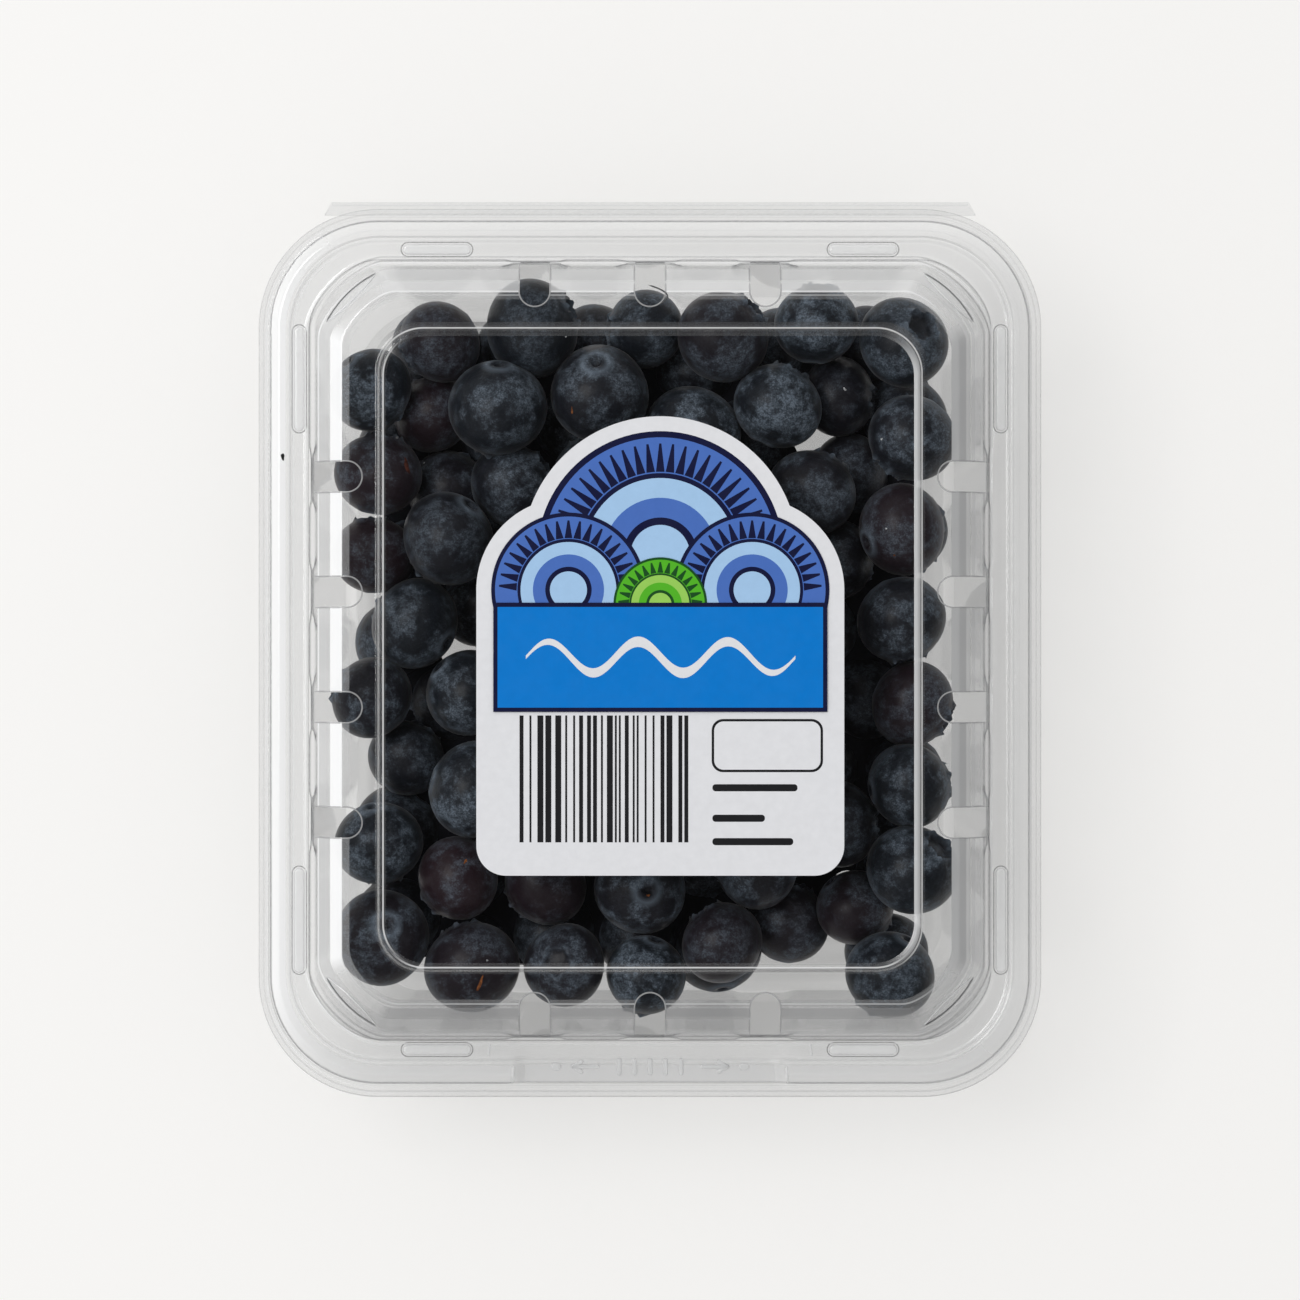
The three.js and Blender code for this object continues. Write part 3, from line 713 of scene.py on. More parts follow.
def pad(start: tuple[float, float], end: tuple[float, float], width: float,
        base: float, rise: float, steps: int = 12) -> Part:
    """A low round-edged button on the sheet, closed underneath.

    Args:
        start: one end of its middle line.
        end: the other end.
        width: how wide it is.
        base: the height that it stands on.
        rise: how far it stands up.
        steps: the points of each round end.

    Returns:
        Its points, quads and triangles: shrinking stadiums that climb a quarter circle.
    """
    turn = np.linspace(0.0, math.pi / 2, 5)
    shrink = np.concatenate([[0.5, 1.0], 1.0 - 0.45 * (1 - np.cos(turn[1:])), [0.2]])
    heights = np.concatenate([[0.0, 0.0], np.sin(turn[1:]), [1.0]]) * rise + base
    levels = [np.column_stack([stadium(start, end, width * share, steps), np.full(2 * steps, z)])
              for share, z in zip(shrink, heights)]
    count = 2 * steps
    points = np.concatenate([*levels, [[*np.mean([start, end], axis=0), base]],
                             [[*np.mean([start, end], axis=0), base + rise]]])
    quads = grid_faces(len(levels), count)
    here, beside = np.arange(count), (np.arange(count) + 1) % count
    last = (len(levels) - 1) * count
    foot = np.stack([beside, here, np.full(count, len(points) - 2)], axis=1)
    top = np.stack([here + last, beside + last, np.full(count, len(points) - 1)], axis=1)
    return points, quads, np.concatenate([foot, top])


def ribbon(left: Array, right: Array, low: float, high: float) -> Part:
    """A flat band between two lines, from a low height to a high one, closed all round."""
    count = len(left)
    levels = [np.column_stack([line, np.full(count, z)])
              for line, z in ((left, low), (right, low), (right, high), (left, high))]
    points = np.stack(levels, axis=1).reshape(-1, 3)
    ends = np.array([[3, 2, 1, 0], np.arange(4) + 4 * (count - 1)])
    return points, np.concatenate([grid_faces(count, 4), ends]), np.empty((0, 3), int)


def tube(path: Array, radius: float, closed: bool, sides: int = 6) -> Part:
    """A thin round bead along a path.

    Args:
        path: the points of its middle line.
        radius: its radius.
        closed: whether the path runs back to its start.
        sides: how many sides its section has.

    Returns:
        Its points, quads and triangles: a circle carried square to the path, shrunk to
        a point at each open end.
    """
    ahead, behind = np.roll(path, -1, axis=0), np.roll(path, 1, axis=0)
    if not closed:
        ahead[-1], behind[0] = path[-1], path[0]
    along = ahead - behind
    along /= np.linalg.norm(along, axis=1, keepdims=True)
    side = np.cross(along, (0.0, 0.0, 1.0))
    side /= np.maximum(np.linalg.norm(side, axis=1, keepdims=True), 1e-9)
    up = np.cross(side, along)
    turn = np.linspace(0.0, 2 * math.pi, sides, endpoint=False)[None, :, None]
    size = np.full((len(path), 1, 1), radius)
    if not closed:
        size[[0, -1]] = radius * 0.02
    points = path[:, None] + size * (np.cos(turn) * side[:, None] + np.sin(turn) * up[:, None])
    rows = len(path)
    quads = grid_faces(rows, sides)
    last = (rows - 1) * sides
    if closed:
        here, beside = np.arange(sides), (np.arange(sides) + 1) % sides
        quads = np.concatenate([quads, np.stack([here + last, beside + last, beside, here], axis=1)])
        return points.reshape(-1, 3), quads, np.empty((0, 3), int)
    here = np.arange(1, sides - 1)
    caps = np.concatenate([np.stack([np.zeros_like(here), here + 1, here], axis=1),
                           np.stack([np.zeros_like(here), here, here + 1], axis=1) + last])
    return points.reshape(-1, 3), quads, caps


LID_LIP, LEDGE_TOP, BEAD_TOP, SHOULDER_TOP, PANEL_TOP = 25.05, 27.05, 27.75, 34.6, 35.7
LID_RINGS = np.array([
    ring(0, LID_LIP, 17),
    ring(1.65, LID_LIP, 15.4, ROUND, LID_LIP),
    ring(1.95, LID_LIP + 1.7, 15.1, ROUND, LID_LIP),
    ring(2.85, BEAD_TOP, 14.4, ROUND, LID_LIP),
    ring(4.4, BEAD_TOP, 13, ROUND, LID_LIP),
    ring(4.95, LEDGE_TOP, 12.5, ROUND, LID_LIP),
    ring(6.7, LEDGE_TOP, 11.3, 0.5),
    ring(7.6, 28.3, 10.5, 0.4),
    ring(8.4, 28.75, 10, 0.35),
    ring(10.8, 33.6, 8.3, 0.3),
    ring(12.1, SHOULDER_TOP, 7.6, 0.4),
    ring(17.2, SHOULDER_TOP, 6.5),
    ring(17.55, PANEL_TOP - 0.05, 6.3),
    ring(17.8, PANEL_TOP + 0.25, 6.1),
    ring(18.15, PANEL_TOP + 0.25, 5.9),
    ring(18.4, PANEL_TOP, 5.7),
    ring(18.7, PANEL_TOP, 5.5),
])
# Painted light on the lid's upper skin at its bends and walls: bright tones are painted highlights, dark
# tones painted shade, each side lit or shaded as the light falls from the left.
LID_PAINTED_LIGHT = (
    PaintedTrace(0.00, 0.10, (0.20, 0.25, 0.15, 0.35), (0.4, 0.3, 0.4, 0.3)),
    PaintedTrace(1.05, 1.22, (0.55, 0.00, 0.10, 0.10), (1.0, 1.0, 1.0, 1.0)),
    PaintedTrace(1.36, 1.48, (0.30, 0.20, 0.10, 0.10), (0.2, 0.3, 0.4, 0.3)),
    PaintedTrace(1.50, 1.62, (0.00, 0.75, 0.10, 0.00), (1.0, 1.0, 1.0, 1.0)),
    PaintedTrace(1.66, 1.94, (0.20, 0.35, 0.12, 0.45), (0.4, 0.3, 0.4, 0.2)),
    PaintedTrace(2.00, 8.55, (0.00, 0.20, 0.00, 0.28), (0.6, 0.45, 0.6, 0.48)),
    PaintedTrace(1.90, 3.95, (0.75, 0.12, 0.12, 0.20), (1.0, 0.8, 0.9, 0.7)),
    PaintedTrace(3.98, 4.20, (0.00, 0.15, 0.35, 0.10), (0.4, 0.4, 0.35, 0.4)),
    PaintedTrace(4.42, 4.56, (0.60, 0.20, 0.10, 0.10), (1.0, 1.0, 1.0, 1.0)),
    PaintedTrace(4.60, 4.86, (0.15, 0.20, 0.15, 0.15), (0.5, 0.4, 0.5, 0.4)),
    PaintedTrace(4.93, 5.06, (0.60, 0.20, 0.10, 0.10), (1.0, 1.0, 1.0, 1.0)),
    PaintedTrace(5.12, 6.60, (0.15, 0.00, 0.10, 0.00), (0.8, 0.8, 0.8, 0.8)),
    PaintedTrace(6.66, 6.80, (0.60, 0.00, 0.15, 0.20), (1.0, 1.0, 1.0, 1.0)),
    PaintedTrace(6.86, 7.00, (0.10, 0.00, 0.40, 0.00), (0.4, 0.4, 0.35, 0.3)),
    PaintedTrace(7.10, 7.26, (0.35, 0.00, 0.00, 0.50), (0.25, 1.0, 1.0, 0.15)),
    PaintedTrace(7.20, 7.35, (0.00, 0.70, 0.30, 0.00), (0.25, 1.0, 1.0, 0.15)),
    PaintedTrace(7.50, 7.64, (0.00, 0.50, 0.35, 0.00), (0.2, 0.1, 0.3, 0.2)),
    PaintedTrace(7.70, 7.88, (0.00, 0.10, 0.40, 0.40), (0.5, 0.4, 1.0, 0.15)),
    PaintedTrace(8.15, 8.45, (0.00, 0.25, 0.00, 0.00), (0.6, 0.35, 0.6, 0.60)),
    PaintedTrace(8.20, 8.70, (0.00, 0.00, 0.00, 0.30), (0.6, 0.6, 0.6, 0.60)),
    PaintedTrace(8.58, 8.74, (0.80, 0.45, 0.00, 0.00), (1.0, 0.9, 1.0, 1.0)),
    PaintedTrace(8.84, 10.48, (0.45, 0.30, 0.35, 0.28), (0.80, 0.74, 0.88, 0.28)),
    PaintedTrace(9.74, 10.16, (0.10, 0.20, 0.00, 0.00), (0.5, 0.45, 0.5, 0.5)),
    PaintedTrace(10.52, 12.02, (0.95, 0.00, 0.45, 0.58), (1.0, 0.5, 0.90, 0.28), 0.1),
    PaintedTrace(10.46, 11.04, (0.00, 0.80, 0.00, 0.00), (1.0, 0.58, 0.62, 0.38)),
    PaintedTrace(11.10, 13.12, (0.00, 0.92, 0.00, 0.00), (1.0, 0.42, 0.62, 0.38), 0.5),
    PaintedTrace(12.04, 12.20, (0.92, 0.00, 0.00, 0.30), (1.0, 0.45, 0.95, 0.38), 0.2),
    PaintedTrace(12.12, 12.28, (0.00, 0.00, 0.75, 0.00), (1.0, 0.45, 1.0, 0.38)),
    PaintedTrace(12.30, 13.26, (0.25, 0.00, 0.12, 0.32), (0.7, 0.40, 0.7, 0.34)),
    PaintedTrace(12.62, 12.76, (0.00, 0.00, 0.35, 0.42), (0.6, 0.4, 0.8, 0.80)),
    PaintedTrace(16.50, 17.10, (0.00, 0.00, 0.50, 0.00), (0.5, 0.4, 0.05, 0.16)),
    PaintedTrace(17.20, 17.62, (0.45, 0.00, 0.35, 0.50), (0.30, 0.4, 0.03, 0.14)),
    PaintedTrace(17.28, 17.42, (0.00, 0.90, 0.85, 0.00), (0.9, 0.95, 0.95, 0.9)),
    PaintedTrace(17.46, 17.56, (0.00, 0.55, 0.20, 0.00), (0.1, 0.08, 0.05, 0.1)),
    PaintedTrace(17.62, 18.46, (0.00, 0.70, 0.40, 0.00), (0.1, 0.72, 0.03, 0.9)),
    PaintedTrace(17.70, 17.80, (0.35, 0.00, 0.00, 0.20), (0.05, 0.5, 0.1, 0.1)),
    PaintedTrace(17.80, 17.94, (0.00, 0.00, 0.00, 0.75), (0.05, 0.5, 0.1, 0.95)),
    PaintedTrace(18.04, 18.18, (0.80, 0.00, 0.00, 0.00), (0.95, 0.5, 0.1, 0.1)),
    PaintedTrace(18.24, 18.38, (0.50, 0.00, 0.10, 0.10), (0.02, 0.6, 0.05, 0.1)),
)


@dataclass(frozen=True)
class LidSizes:
    """Sizes of the lid's fine shell."""

    thickness: float = 0.32 * MM
    bend: float = 0.3 * MM
    tab_half: float = 18.1 * MM
    button_inset: float = 5.85 * MM
    side_button: tuple[float, float] = (31.8 * MM, 45.2 * MM)
    end_button: tuple[float, float] = (26.2 * MM, 34.4 * MM)
    button_width: float = 1.5 * MM
    button_rise: float = 0.5 * MM
    button_step: float = 0.5 * MM
    mark_inset: float = 4.3 * MM
    mark_rise: float = 0.28 * MM
    lens_ends: Span = ((45.9, 46.4), (38.8, 53.4))
    lens_bows: tuple[float, float] = (0.8 * MM, -0.5 * MM)
    stroke_ends: tuple[Span, Span] = (((19.4, -59.2), (19.6, -61.8)), ((22.8, -56.0), (23.0, -57.8)))
    nick_curve: tuple[tuple[float, float], ...] = ((-0.3, 51.5), (4.2, 50.2), (1.4, 48.8))
    outline_radius: float = 0.085 * MM
    lip_radius: float = 0.11 * MM
    # How much each mark's painted light covers and how bright it is: painted highlights on the buttons, tab
    # marks, inner lens edges and tab strokes, painted shade on the button outlines, outer lens edges and
    # nick, and a mid grey on the vent lips.
    button_highlight: tuple[float, float] = (0.30, 1.0)
    outline_shade: tuple[float, float] = (0.36, 0.22)
    mark_highlight: tuple[float, float] = (0.35, 0.9)
    lip_painted_light: tuple[float, float] = (0.50, 0.52)
    nick_shade: tuple[float, float] = (0.85, 0.05)
    lens_shade: tuple[float, float] = (0.75, 0.22)
    lens_radius: float = 0.12 * MM
    painted_highlight: tuple[float, float] = (0.65, 1.0)
    stroke_radius: float = 0.16 * MM


class Lid(Sheet):
    """The vented lid with its bead, press buttons, opening tab and raised panel."""

    def __init__(self, outline: Outline, sizes: LidSizes = LidSizes()) -> None:
        """Keeps the outline and the lid's sizes."""
        super().__init__(outline, sizes.thickness)
        self.sizes = sizes

    def vents(self) -> bpy.types.Mesh:
        """The cutters of the fourteen slots through the wall and the shoulder."""
        low, high = (LEDGE_TOP + 1.2) * MM, (PANEL_TOP + 2) * MM
        return joined("vent_cutter", [prism(stadium(*ends, self.outline.vent_width), low, high)
                                      for ends in self.vent_ends()])

    def vent_ends(self) -> list[Span]:
        """The outer and inner end of each vent's middle line."""
        o, found = self.outline, []
        for sign in (-1, 1):
            for reach, far, middles, across in ((o.half_width, o.vent_inner, o.side_middles(), False),
                                                (o.back_edge, o.end_vent_inner, o.end_middles(), True)):
                for along in middles:
                    outer = (sign * (reach - o.vent_outer), along)
                    inner = (sign * (reach - far + o.vent_width / 2), along)
                    found.append((outer[::-1], inner[::-1]) if across else (outer, inner))
        return found

    def surface_height(self, points: Array) -> Array:
        """The height of the lid's upper skin over points on its straight sides."""
        o = self.outline
        inset = np.minimum(o.half_width - np.abs(points[:, 0]), o.back_edge - np.abs(points[:, 1]))
        return np.interp(inset, LID_RINGS[:, 0], LID_RINGS[:, 1])

    def vent_lips(self) -> list[Part]:
        """The fine rolled edge round each vent."""
        o, radius = self.outline, self.sizes.lip_radius
        parts = []
        for outer, inner in self.vent_ends():
            ring_line = stadium(outer, inner, o.vent_width + 2 * radius, 18)
            inset = np.minimum(o.half_width - np.abs(ring_line[:, 0]), o.back_edge - np.abs(ring_line[:, 1]))
            keep = inset > 7.6 * MM
            start = int(np.argmin(keep)) if not keep.all() else 0
            line = np.roll(ring_line, -start, axis=0)[np.roll(keep, -start)]
            corners = np.concatenate([line[:1], line, line[-1:]])
            fine = np.concatenate([a + np.linspace(0, 1, 6)[:-1, None] * (b - a)
                                   for a, b in zip(corners[1:-2], corners[2:-1])] + [line[-1:]])
            heights = self.surface_height(fine)
            parts.append(tube(np.column_stack([fine, heights]), radius, False))
        return parts

    def button_spans(self) -> list[Span]:
        """The ends of the middle line of each press button."""
        o = self.outline
        (y0, y1), (x0, x1) = self.sizes.side_button, self.sizes.end_button
        side, end = o.half_width - self.sizes.button_inset, o.back_edge - self.sizes.button_inset
        found = []
        for x in (-1, 1):
            for y in (-1, 1):
                found += [((x * side, y * y0), (x * side, y * y1)), ((x * x0, y * end), (x * x1, y * end))]
        return found

    def buttons(self) -> list[Part]:
        """The eight oblong press buttons on the ledge."""
        s = self.sizes
        return [pad(*span, s.button_width, LEDGE_TOP * MM, s.button_rise) for span in self.button_spans()]

    def button_outlines(self) -> list[Part]:
        """The fine step round each press button."""
        width = self.sizes.button_width + self.sizes.button_step
        edges = [stadium(*span, width) for span in self.button_spans()]
        return [tube(np.column_stack([edge, np.full(len(edge), (LEDGE_TOP + 0.02) * MM)]),
                     self.sizes.outline_radius, True) for edge in edges]

    def laid(self, tree: BVHTree, flat: Array, radius: float) -> Part:
        """A thin bead along a line seen from above, laid on the sheet by rays from over it."""
        hits = [tree.ray_cast(Vector((x, y, OVERHEAD)), DOWN)[0] for x, y in flat]
        heights = [LEDGE_TOP * MM if hit is None else hit.z for hit in hits]
        return tube(np.column_stack([flat, heights]), radius, False)

    def lenses(self, tree: BVHTree, bow: float) -> list[Part]:
        """A thin bead along one edge of the long lens in each corner, bowed outward by a distance, that
        carries a painted line.
        """
        share = np.linspace(0.0, 1.0, 22)[:, None]
        start, end = np.array(self.sizes.lens_ends) * MM
        line = start + share * (end - start) + 4 * share * (1 - share) * bow * ROUND
        return [self.laid(tree, line * (x, y), self.sizes.lens_radius)
                for x in (-1, 1) for y in (-1, 1)]

    def tab_highlight_strokes(self, tree: BVHTree) -> list[Part]:
        """Thin beads at each end of the opening tab that carry the painted highlights of its upright edges.
        """
        share = np.linspace(0.0, 1.0, 9)[:, None]
        lines = [np.array(a) + share * (np.array(b) - a) for a, b in self.sizes.stroke_ends]
        return [self.laid(tree, line * (sign, 1) * MM, self.sizes.stroke_radius)
                for line in lines for sign in (-1, 1)]

    def nick(self) -> list[Part]:
        """A thin bead along the small curved nick at the middle vent of the back, which carries painted
        shade.
        """
        share = np.linspace(0.0, 1.0, 14)[:, None]
        start, knee, end = np.array(self.sizes.nick_curve) * MM
        line = (1 - share) ** 2 * start + 2 * share * (1 - share) * knee + share ** 2 * end
        path = np.column_stack([line, np.full(len(line), SHOULDER_TOP * MM)])
        return [tube(path, self.sizes.lip_radius, False)]

    def tab_marks(self) -> list[Part]:
        """The raised arrows, dots and grip ribs of the opening tab."""
        y = -self.outline.half_depth + self.sizes.mark_inset
        spans = [((x, y - 0.9 * MM), (x, y + 0.9 * MM), 0.7) for x in spaced(5, 2.2 * MM)]
        for sign in (-1, 1):
            tip = (sign * 11.0 * MM, y)
            spans += [((sign * 7.5 * MM, y), tip, 0.6),
                      ((sign * 9.8 * MM, y + 0.7 * MM), tip, 0.6),
                      ((sign * 9.8 * MM, y - 0.7 * MM), tip, 0.6),
                      ((sign * 13.2 * MM, y), (sign * 13.6 * MM, y), 1.1)]
        return [pad(a, b, width * MM, LID_LIP * MM, self.sizes.mark_rise) for a, b, width in spans]

    def build(self) -> bpy.types.Object:
        """Builds and dresses the lid, and gives the piece."""
        rings = refined(rounded(LID_RINGS, self.sizes.bend), LID_PAINTED_LIGHT)
        rings = np.concatenate([rings, closing_rings(rings[-1], self.outline)])
        mesh = self.shell("lid_shell", rings, self.sizes.tab_half, LID_PAINTED_LIGHT)
        tidy_normals(mesh)
        piece = add_object(mesh, "lid")
        cut(piece, self.vents())
        self.add_marks(piece)
        dress(piece, ClearSheetFinish().material())
        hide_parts("lid")
        return piece

    def add_marks(self, piece: bpy.types.Object) -> None:
        """Adds the buttons, the marks and the hinge strip to the cut shell, the marks with their painted
        highlights and painted shade.
        """
        strip = hinge_strip(LID_LIP * MM, self.outline.half_depth - 0.02 * MM, self.thickness)
        s, tree = self.sizes, surface_tree(piece)
        outer_bow, inner_bow = s.lens_bows
        # Each mark carries its painted highlight or painted shade; the hinge strip carries none.
        marks = painted_light_mesh("marks", [
            (s.lens_shade, self.lenses(tree, outer_bow)), (s.painted_highlight, self.lenses(tree, inner_bow)),
            (s.painted_highlight, self.tab_highlight_strokes(tree)),
            (s.button_highlight, self.buttons()), (s.outline_shade, self.button_outlines()),
            (s.mark_highlight, self.tab_marks()), (s.lip_painted_light, self.vent_lips()),
            (s.nick_shade, self.nick()), ((0.0, 0.0), [strip]),
        ])
        add_faces(piece, marks)


def hinge_strip(top: float, end: float, thickness: float) -> Part:
    """The straight strip that carries a flange out to the hinge line."""
    reach, start = 45.4 * MM, 61.9 * MM
    corners = np.array([(-reach - MM, start), (reach + MM, start), (reach, end), (-reach, end)])
    return prism(corners, top - thickness, top)


# Painted shade on the tray's upper skin: grey lines at the lip and the wall's top, a darker front wall, and a
# grey tone over the whole floor where the pile's shadow falls.
TRAY_PAINTED_LIGHT = (
    PaintedTrace(0.6, 0.75, (0.15, 0.15, 0.15, 0.25), (0.4, 0.4, 0.4, 0.4)),
    PaintedTrace(7.2, 7.4, (0.15, 0.15, 0.15, 0.25), (0.4, 0.3, 0.4, 0.2)),
    PaintedTrace(7.5, 13.2, (0.00, 0.05, 0.00, 0.32), (0.5, 0.3, 0.5, 0.20)),
    PaintedTrace(13.3, 60.0, (0.14, 0.14, 0.14, 0.16), (0.35, 0.35, 0.35, 0.30)),
)


@dataclass(frozen=True)
class TraySizes:
    """Sizes of the base tray's fine shell."""

    thickness: float = 0.32 * MM
    bend: float = 0.5 * MM
    tab_half: float = 19.4 * MM
    fit: float = 0.75
    floor_top: float = 1.75


@dataclass(frozen=True)
class WallLine:
    """The straight line of the tray's wall, in millimetres."""

    top: float = 25.2
    fall: float = 22.0
    start: float = 7.75
    lean: float = 5.65

    def share(self, z: Array) -> Array:
        """How far down the wall a height lies, from 0 to 1."""
        return (self.top - z) / self.fall

    def inset(self, share: Array) -> Array:
        """How far in from the outline the wall lies at a share of its height."""
        return self.start + self.lean * share


WALL = WallLine()


class Tray(Sheet):
    """The base tray with its nested rim, fluted walls and raised, slotted floor."""

    def __init__(self, outline: Outline, sizes: TraySizes = TraySizes()) -> None:
        """Keeps the outline and the tray's sizes."""
        super().__init__(outline, sizes.thickness)
        self.sizes = sizes

    def rings(self) -> Array:
        """The whole profile: the rim under the lid's rim, the wall, the foot and the floor."""
        rim = lowered(LID_RINGS[[0, 1, 3, 4, 5, 6]], self.sizes.fit * MM)[:5]

        def wall(share: float, flute: float) -> list[float]:
            """One ring of the wall at a share of its height, from the top."""
            return ring(WALL.inset(share), WALL.top - WALL.fall * share, 9, 0.45, None, flute)

        lower = np.array([
            ring(7.15, LEDGE_TOP - self.sizes.fit, 9.8, 0.5, None, -0.3),
            ring(7.3, 25.0, 9.6, 0.5, None, -0.3),
            wall(0.03, 0), wall(0.07, 0.85), wall(0.14, 1), wall(0.86, 1), wall(0.94, 0.7), wall(1, 0),
            ring(14.2, 1.3, 8.6, 0.5),
            ring(15.5, 0.45, 8, 0.6),
            ring(18.6, 0.45, 7, 0.65),
            ring(19.9, self.sizes.floor_top, 6.4, 0.65),
            ring(21.0, self.sizes.floor_top, 6.0, 0.65),
        ])
        return np.concatenate([rim, lower])

    def drains(self) -> bpy.types.Mesh:
        """The cutters of the six drain slots in the floor."""
        parts = [prism(stadium((x - 4 * MM, y), (x + 4 * MM, y), 2.6 * MM), -MM, 5 * MM)
                 for y in (-24 * MM, 24 * MM) for x in spaced(3, 20 * MM)]
        return joined("drain_cutter", parts)

    def build(self) -> bpy.types.Object:
        """Builds and dresses the tray, and gives the piece."""
        rings = refined(rounded(self.rings(), self.sizes.bend), TRAY_PAINTED_LIGHT)
        rings = np.concatenate([rings, closing_rings(rings[-1], self.outline)])
        mesh = self.shell("tray_shell", rings, self.sizes.tab_half, TRAY_PAINTED_LIGHT)
        tidy_normals(mesh)
        piece = add_object(mesh, "base")
        cut(piece, self.drains())
        add_faces(piece, joined("strip", [hinge_strip(24.3 * MM, 63.3 * MM, self.thickness)]))
        dress(piece, ClearSheetFinish(name="clear_plastic_tray").material())
        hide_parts("base_tray")
        return piece


@dataclass(frozen=True)
class HingeWeb:
    """The fold of sheet that joins the tray's flange to the lid's flange."""

    half_length: float = 45.3 * MM
    thickness: float = 0.16 * MM
    y: float = 63.26 * MM
    z: float = 24.46 * MM
    bulge: float = 0.42 * MM
    half_height: float = 0.36 * MM
    steps: int = 13
    stations: int = 31

    def build(self) -> bpy.types.Object:
        """Builds the web: a bent profile carried along the hinge line.

        Returns:
            The piece. Its profile leaves the tray's strip level, turns back in half an
            oval just inside the back edge, and meets the lid's strip.
        """
        turn = np.linspace(-math.pi / 2, math.pi / 2, self.steps)
        y = self.y + self.bulge * np.cos(turn)
        z = self.z + self.half_height * np.sin(turn)
        normal = np.stack([np.cos(turn), np.sin(turn)], axis=1)
        inner = np.stack([y, z], axis=1) - self.thickness * normal
        section = np.concatenate([np.stack([y, z], axis=1), inner[::-1]])
        count = len(section)
        xs = np.linspace(-self.half_length, self.half_length, self.stations)
        rows = [np.column_stack([np.full(count, x), section]) for x in xs]
        caps = [np.column_stack([np.full(count, x), np.tile(section.mean(axis=0), (count, 1))])
                for x in (xs[0], xs[-1])]
        points = np.concatenate([caps[0], *rows, caps[1]])
        mesh = new_mesh("hinge_web", points, grid_faces(len(xs) + 2, count))
        tidy_normals(mesh)
        mesh.materials.append(ClearSheetFinish(name="clear_plastic_web").material())
        piece = bpy.data.objects.new("hinge_web", mesh)
        bpy.context.scene.collection.objects.link(piece)
        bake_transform(piece)
        return piece


class Pole(Enum):
    """Which end of a berry is turned up to be seen."""

    CROWN = "crown"
    STEM = "stem"


# Berries that show: x, y and diameter in millimetres, level, how much bloom and how red
SEEN_BERRIES = [
    (-30.4, 43.4, 11.7, 1, 0.35, 0.5), (-17.1, 45.8, 13.9, 2, 0.3, 0.0), (-2.7, 43.3, 11.8, 1, 0.6, 0.0),
    (9.7, 44.4, 13.6, 2, 0.45, 0.35), (23.9, 46.7, 12.3, 2, 0.8, 0.0), (36.3, 44.0, 12.8, 2, 0.55, 0.0),
    (-39.2, 36.7, 12.0, 2, 0.85, 0.0), (-21.8, 34.6, 14.2, 2, 0.55, 0.0), (-6.8, 38.0, 14.5, 2, 0.5, 0.1),
    (6.0, 31.0, 13.6, 2, 0.8, 0.0), (18.8, 35.3, 12.6, 2, 0.85, 0.0), (29.6, 35.6, 11.5, 0, 0.15, 0.2),
    (37.3, 30.3, 13.0, 2, 0.6, 0.1), (-32.1, 31.3, 11.4, 0, 0.3, 0.8), (-12.1, 29.9, 11.5, 0, 0.5, 0.0),
    (-38.8, 24.9, 12.5, 2, 0.4, 0.7), (-28.2, 21.6, 12.0, 0, 0.4, 0.3), (-20.7, 22.4, 12.2, 1, 0.55, 0.1),
    (23.5, 22.4, 12.5, 1, 0.5, 0.2), (31.1, 24.6, 12.0, 0, 0.4, 0.3), (-28.5, 17.0, 13.4, 2, 0.3, 0.1),
    (35.6, 17.0, 13.2, 2, 0.35, 0.7), (-39.2, 12.8, 11.7, 1, 0.3, 0.8), (27.8, 11.3, 11.5, 0, 0.4, 0.2),
    (-34.5, 4.2, 13.0, 2, 0.5, 0.0), (36.0, 3.9, 13.0, 2, 0.6, 0.1), (-39.2, -6.9, 12.0, 2, 0.55, 0.2),
    (-26.2, -6.1, 12.6, 2, 0.6, 0.0), (37.5, -8.1, 12.4, 2, 0.35, 0.7), (-33.9, -16.9, 11.5, 0, 0.4, 0.1),
    (-25.7, -20.0, 13.8, 2, 0.85, 0.0), (37.0, -19.7, 12.5, 2, 0.6, 0.0), (24.2, -22.9, 12.0, 1, 0.4, 0.2),
    (-38.8, -27.6, 12.5, 2, 0.7, 0.0), (-27.4, -32.4, 12.3, 2, 0.35, 1.0), (-15.0, -34.0, 12.0, 1, 0.3, 0.7),
    (-1.4, -34.7, 13.6, 2, 0.75, 0.2), (15.2, -31.7, 12.8, 2, 0.55, 0.2), (36.3, -31.4, 13.5, 2, 0.65, 0.0),
    (30.6, -38.1, 11.4, 1, 0.35, 0.6), (20.0, -37.8, 12.2, 0, 0.35, 0.4), (10.3, -41.5, 12.1, 2, 0.25, 0.5),
    (-38.2, -41.1, 13.6, 2, 0.5, 0.4), (-25.4, -45.4, 13.5, 2, 0.3, 0.5), (-12.3, -45.0, 11.7, 2, 0.55, 0.3),
    (-0.3, -45.7, 11.9, 2, 0.8, 0.0), (33.8, -45.7, 13.0, 2, 0.6, 0.0),
]
# Berries whose crown or stem pit shows: which one, and the x and y parts of its direction
TURNED_POLES = {
    5: (Pole.CROWN, 0.44, 0.38), 38: (Pole.CROWN, 0.63, 0.57), 44: (Pole.CROWN, -0.21, 0.13),
    9: (Pole.CROWN, 0.0, -0.15), 36: (Pole.STEM, 0.17, -0.05), 8: (Pole.STEM, -0.08, 0.66),
    42: (Pole.STEM, 0.12, 0.32),
}


def scatter(seed: Array) -> Array:
    """Repeatable numbers from 0 to 1 for places in a series."""
    value = np.sin(np.asarray(seed) * 12.9898 + 4.1) * 43758.5453
    return value - np.floor(value)


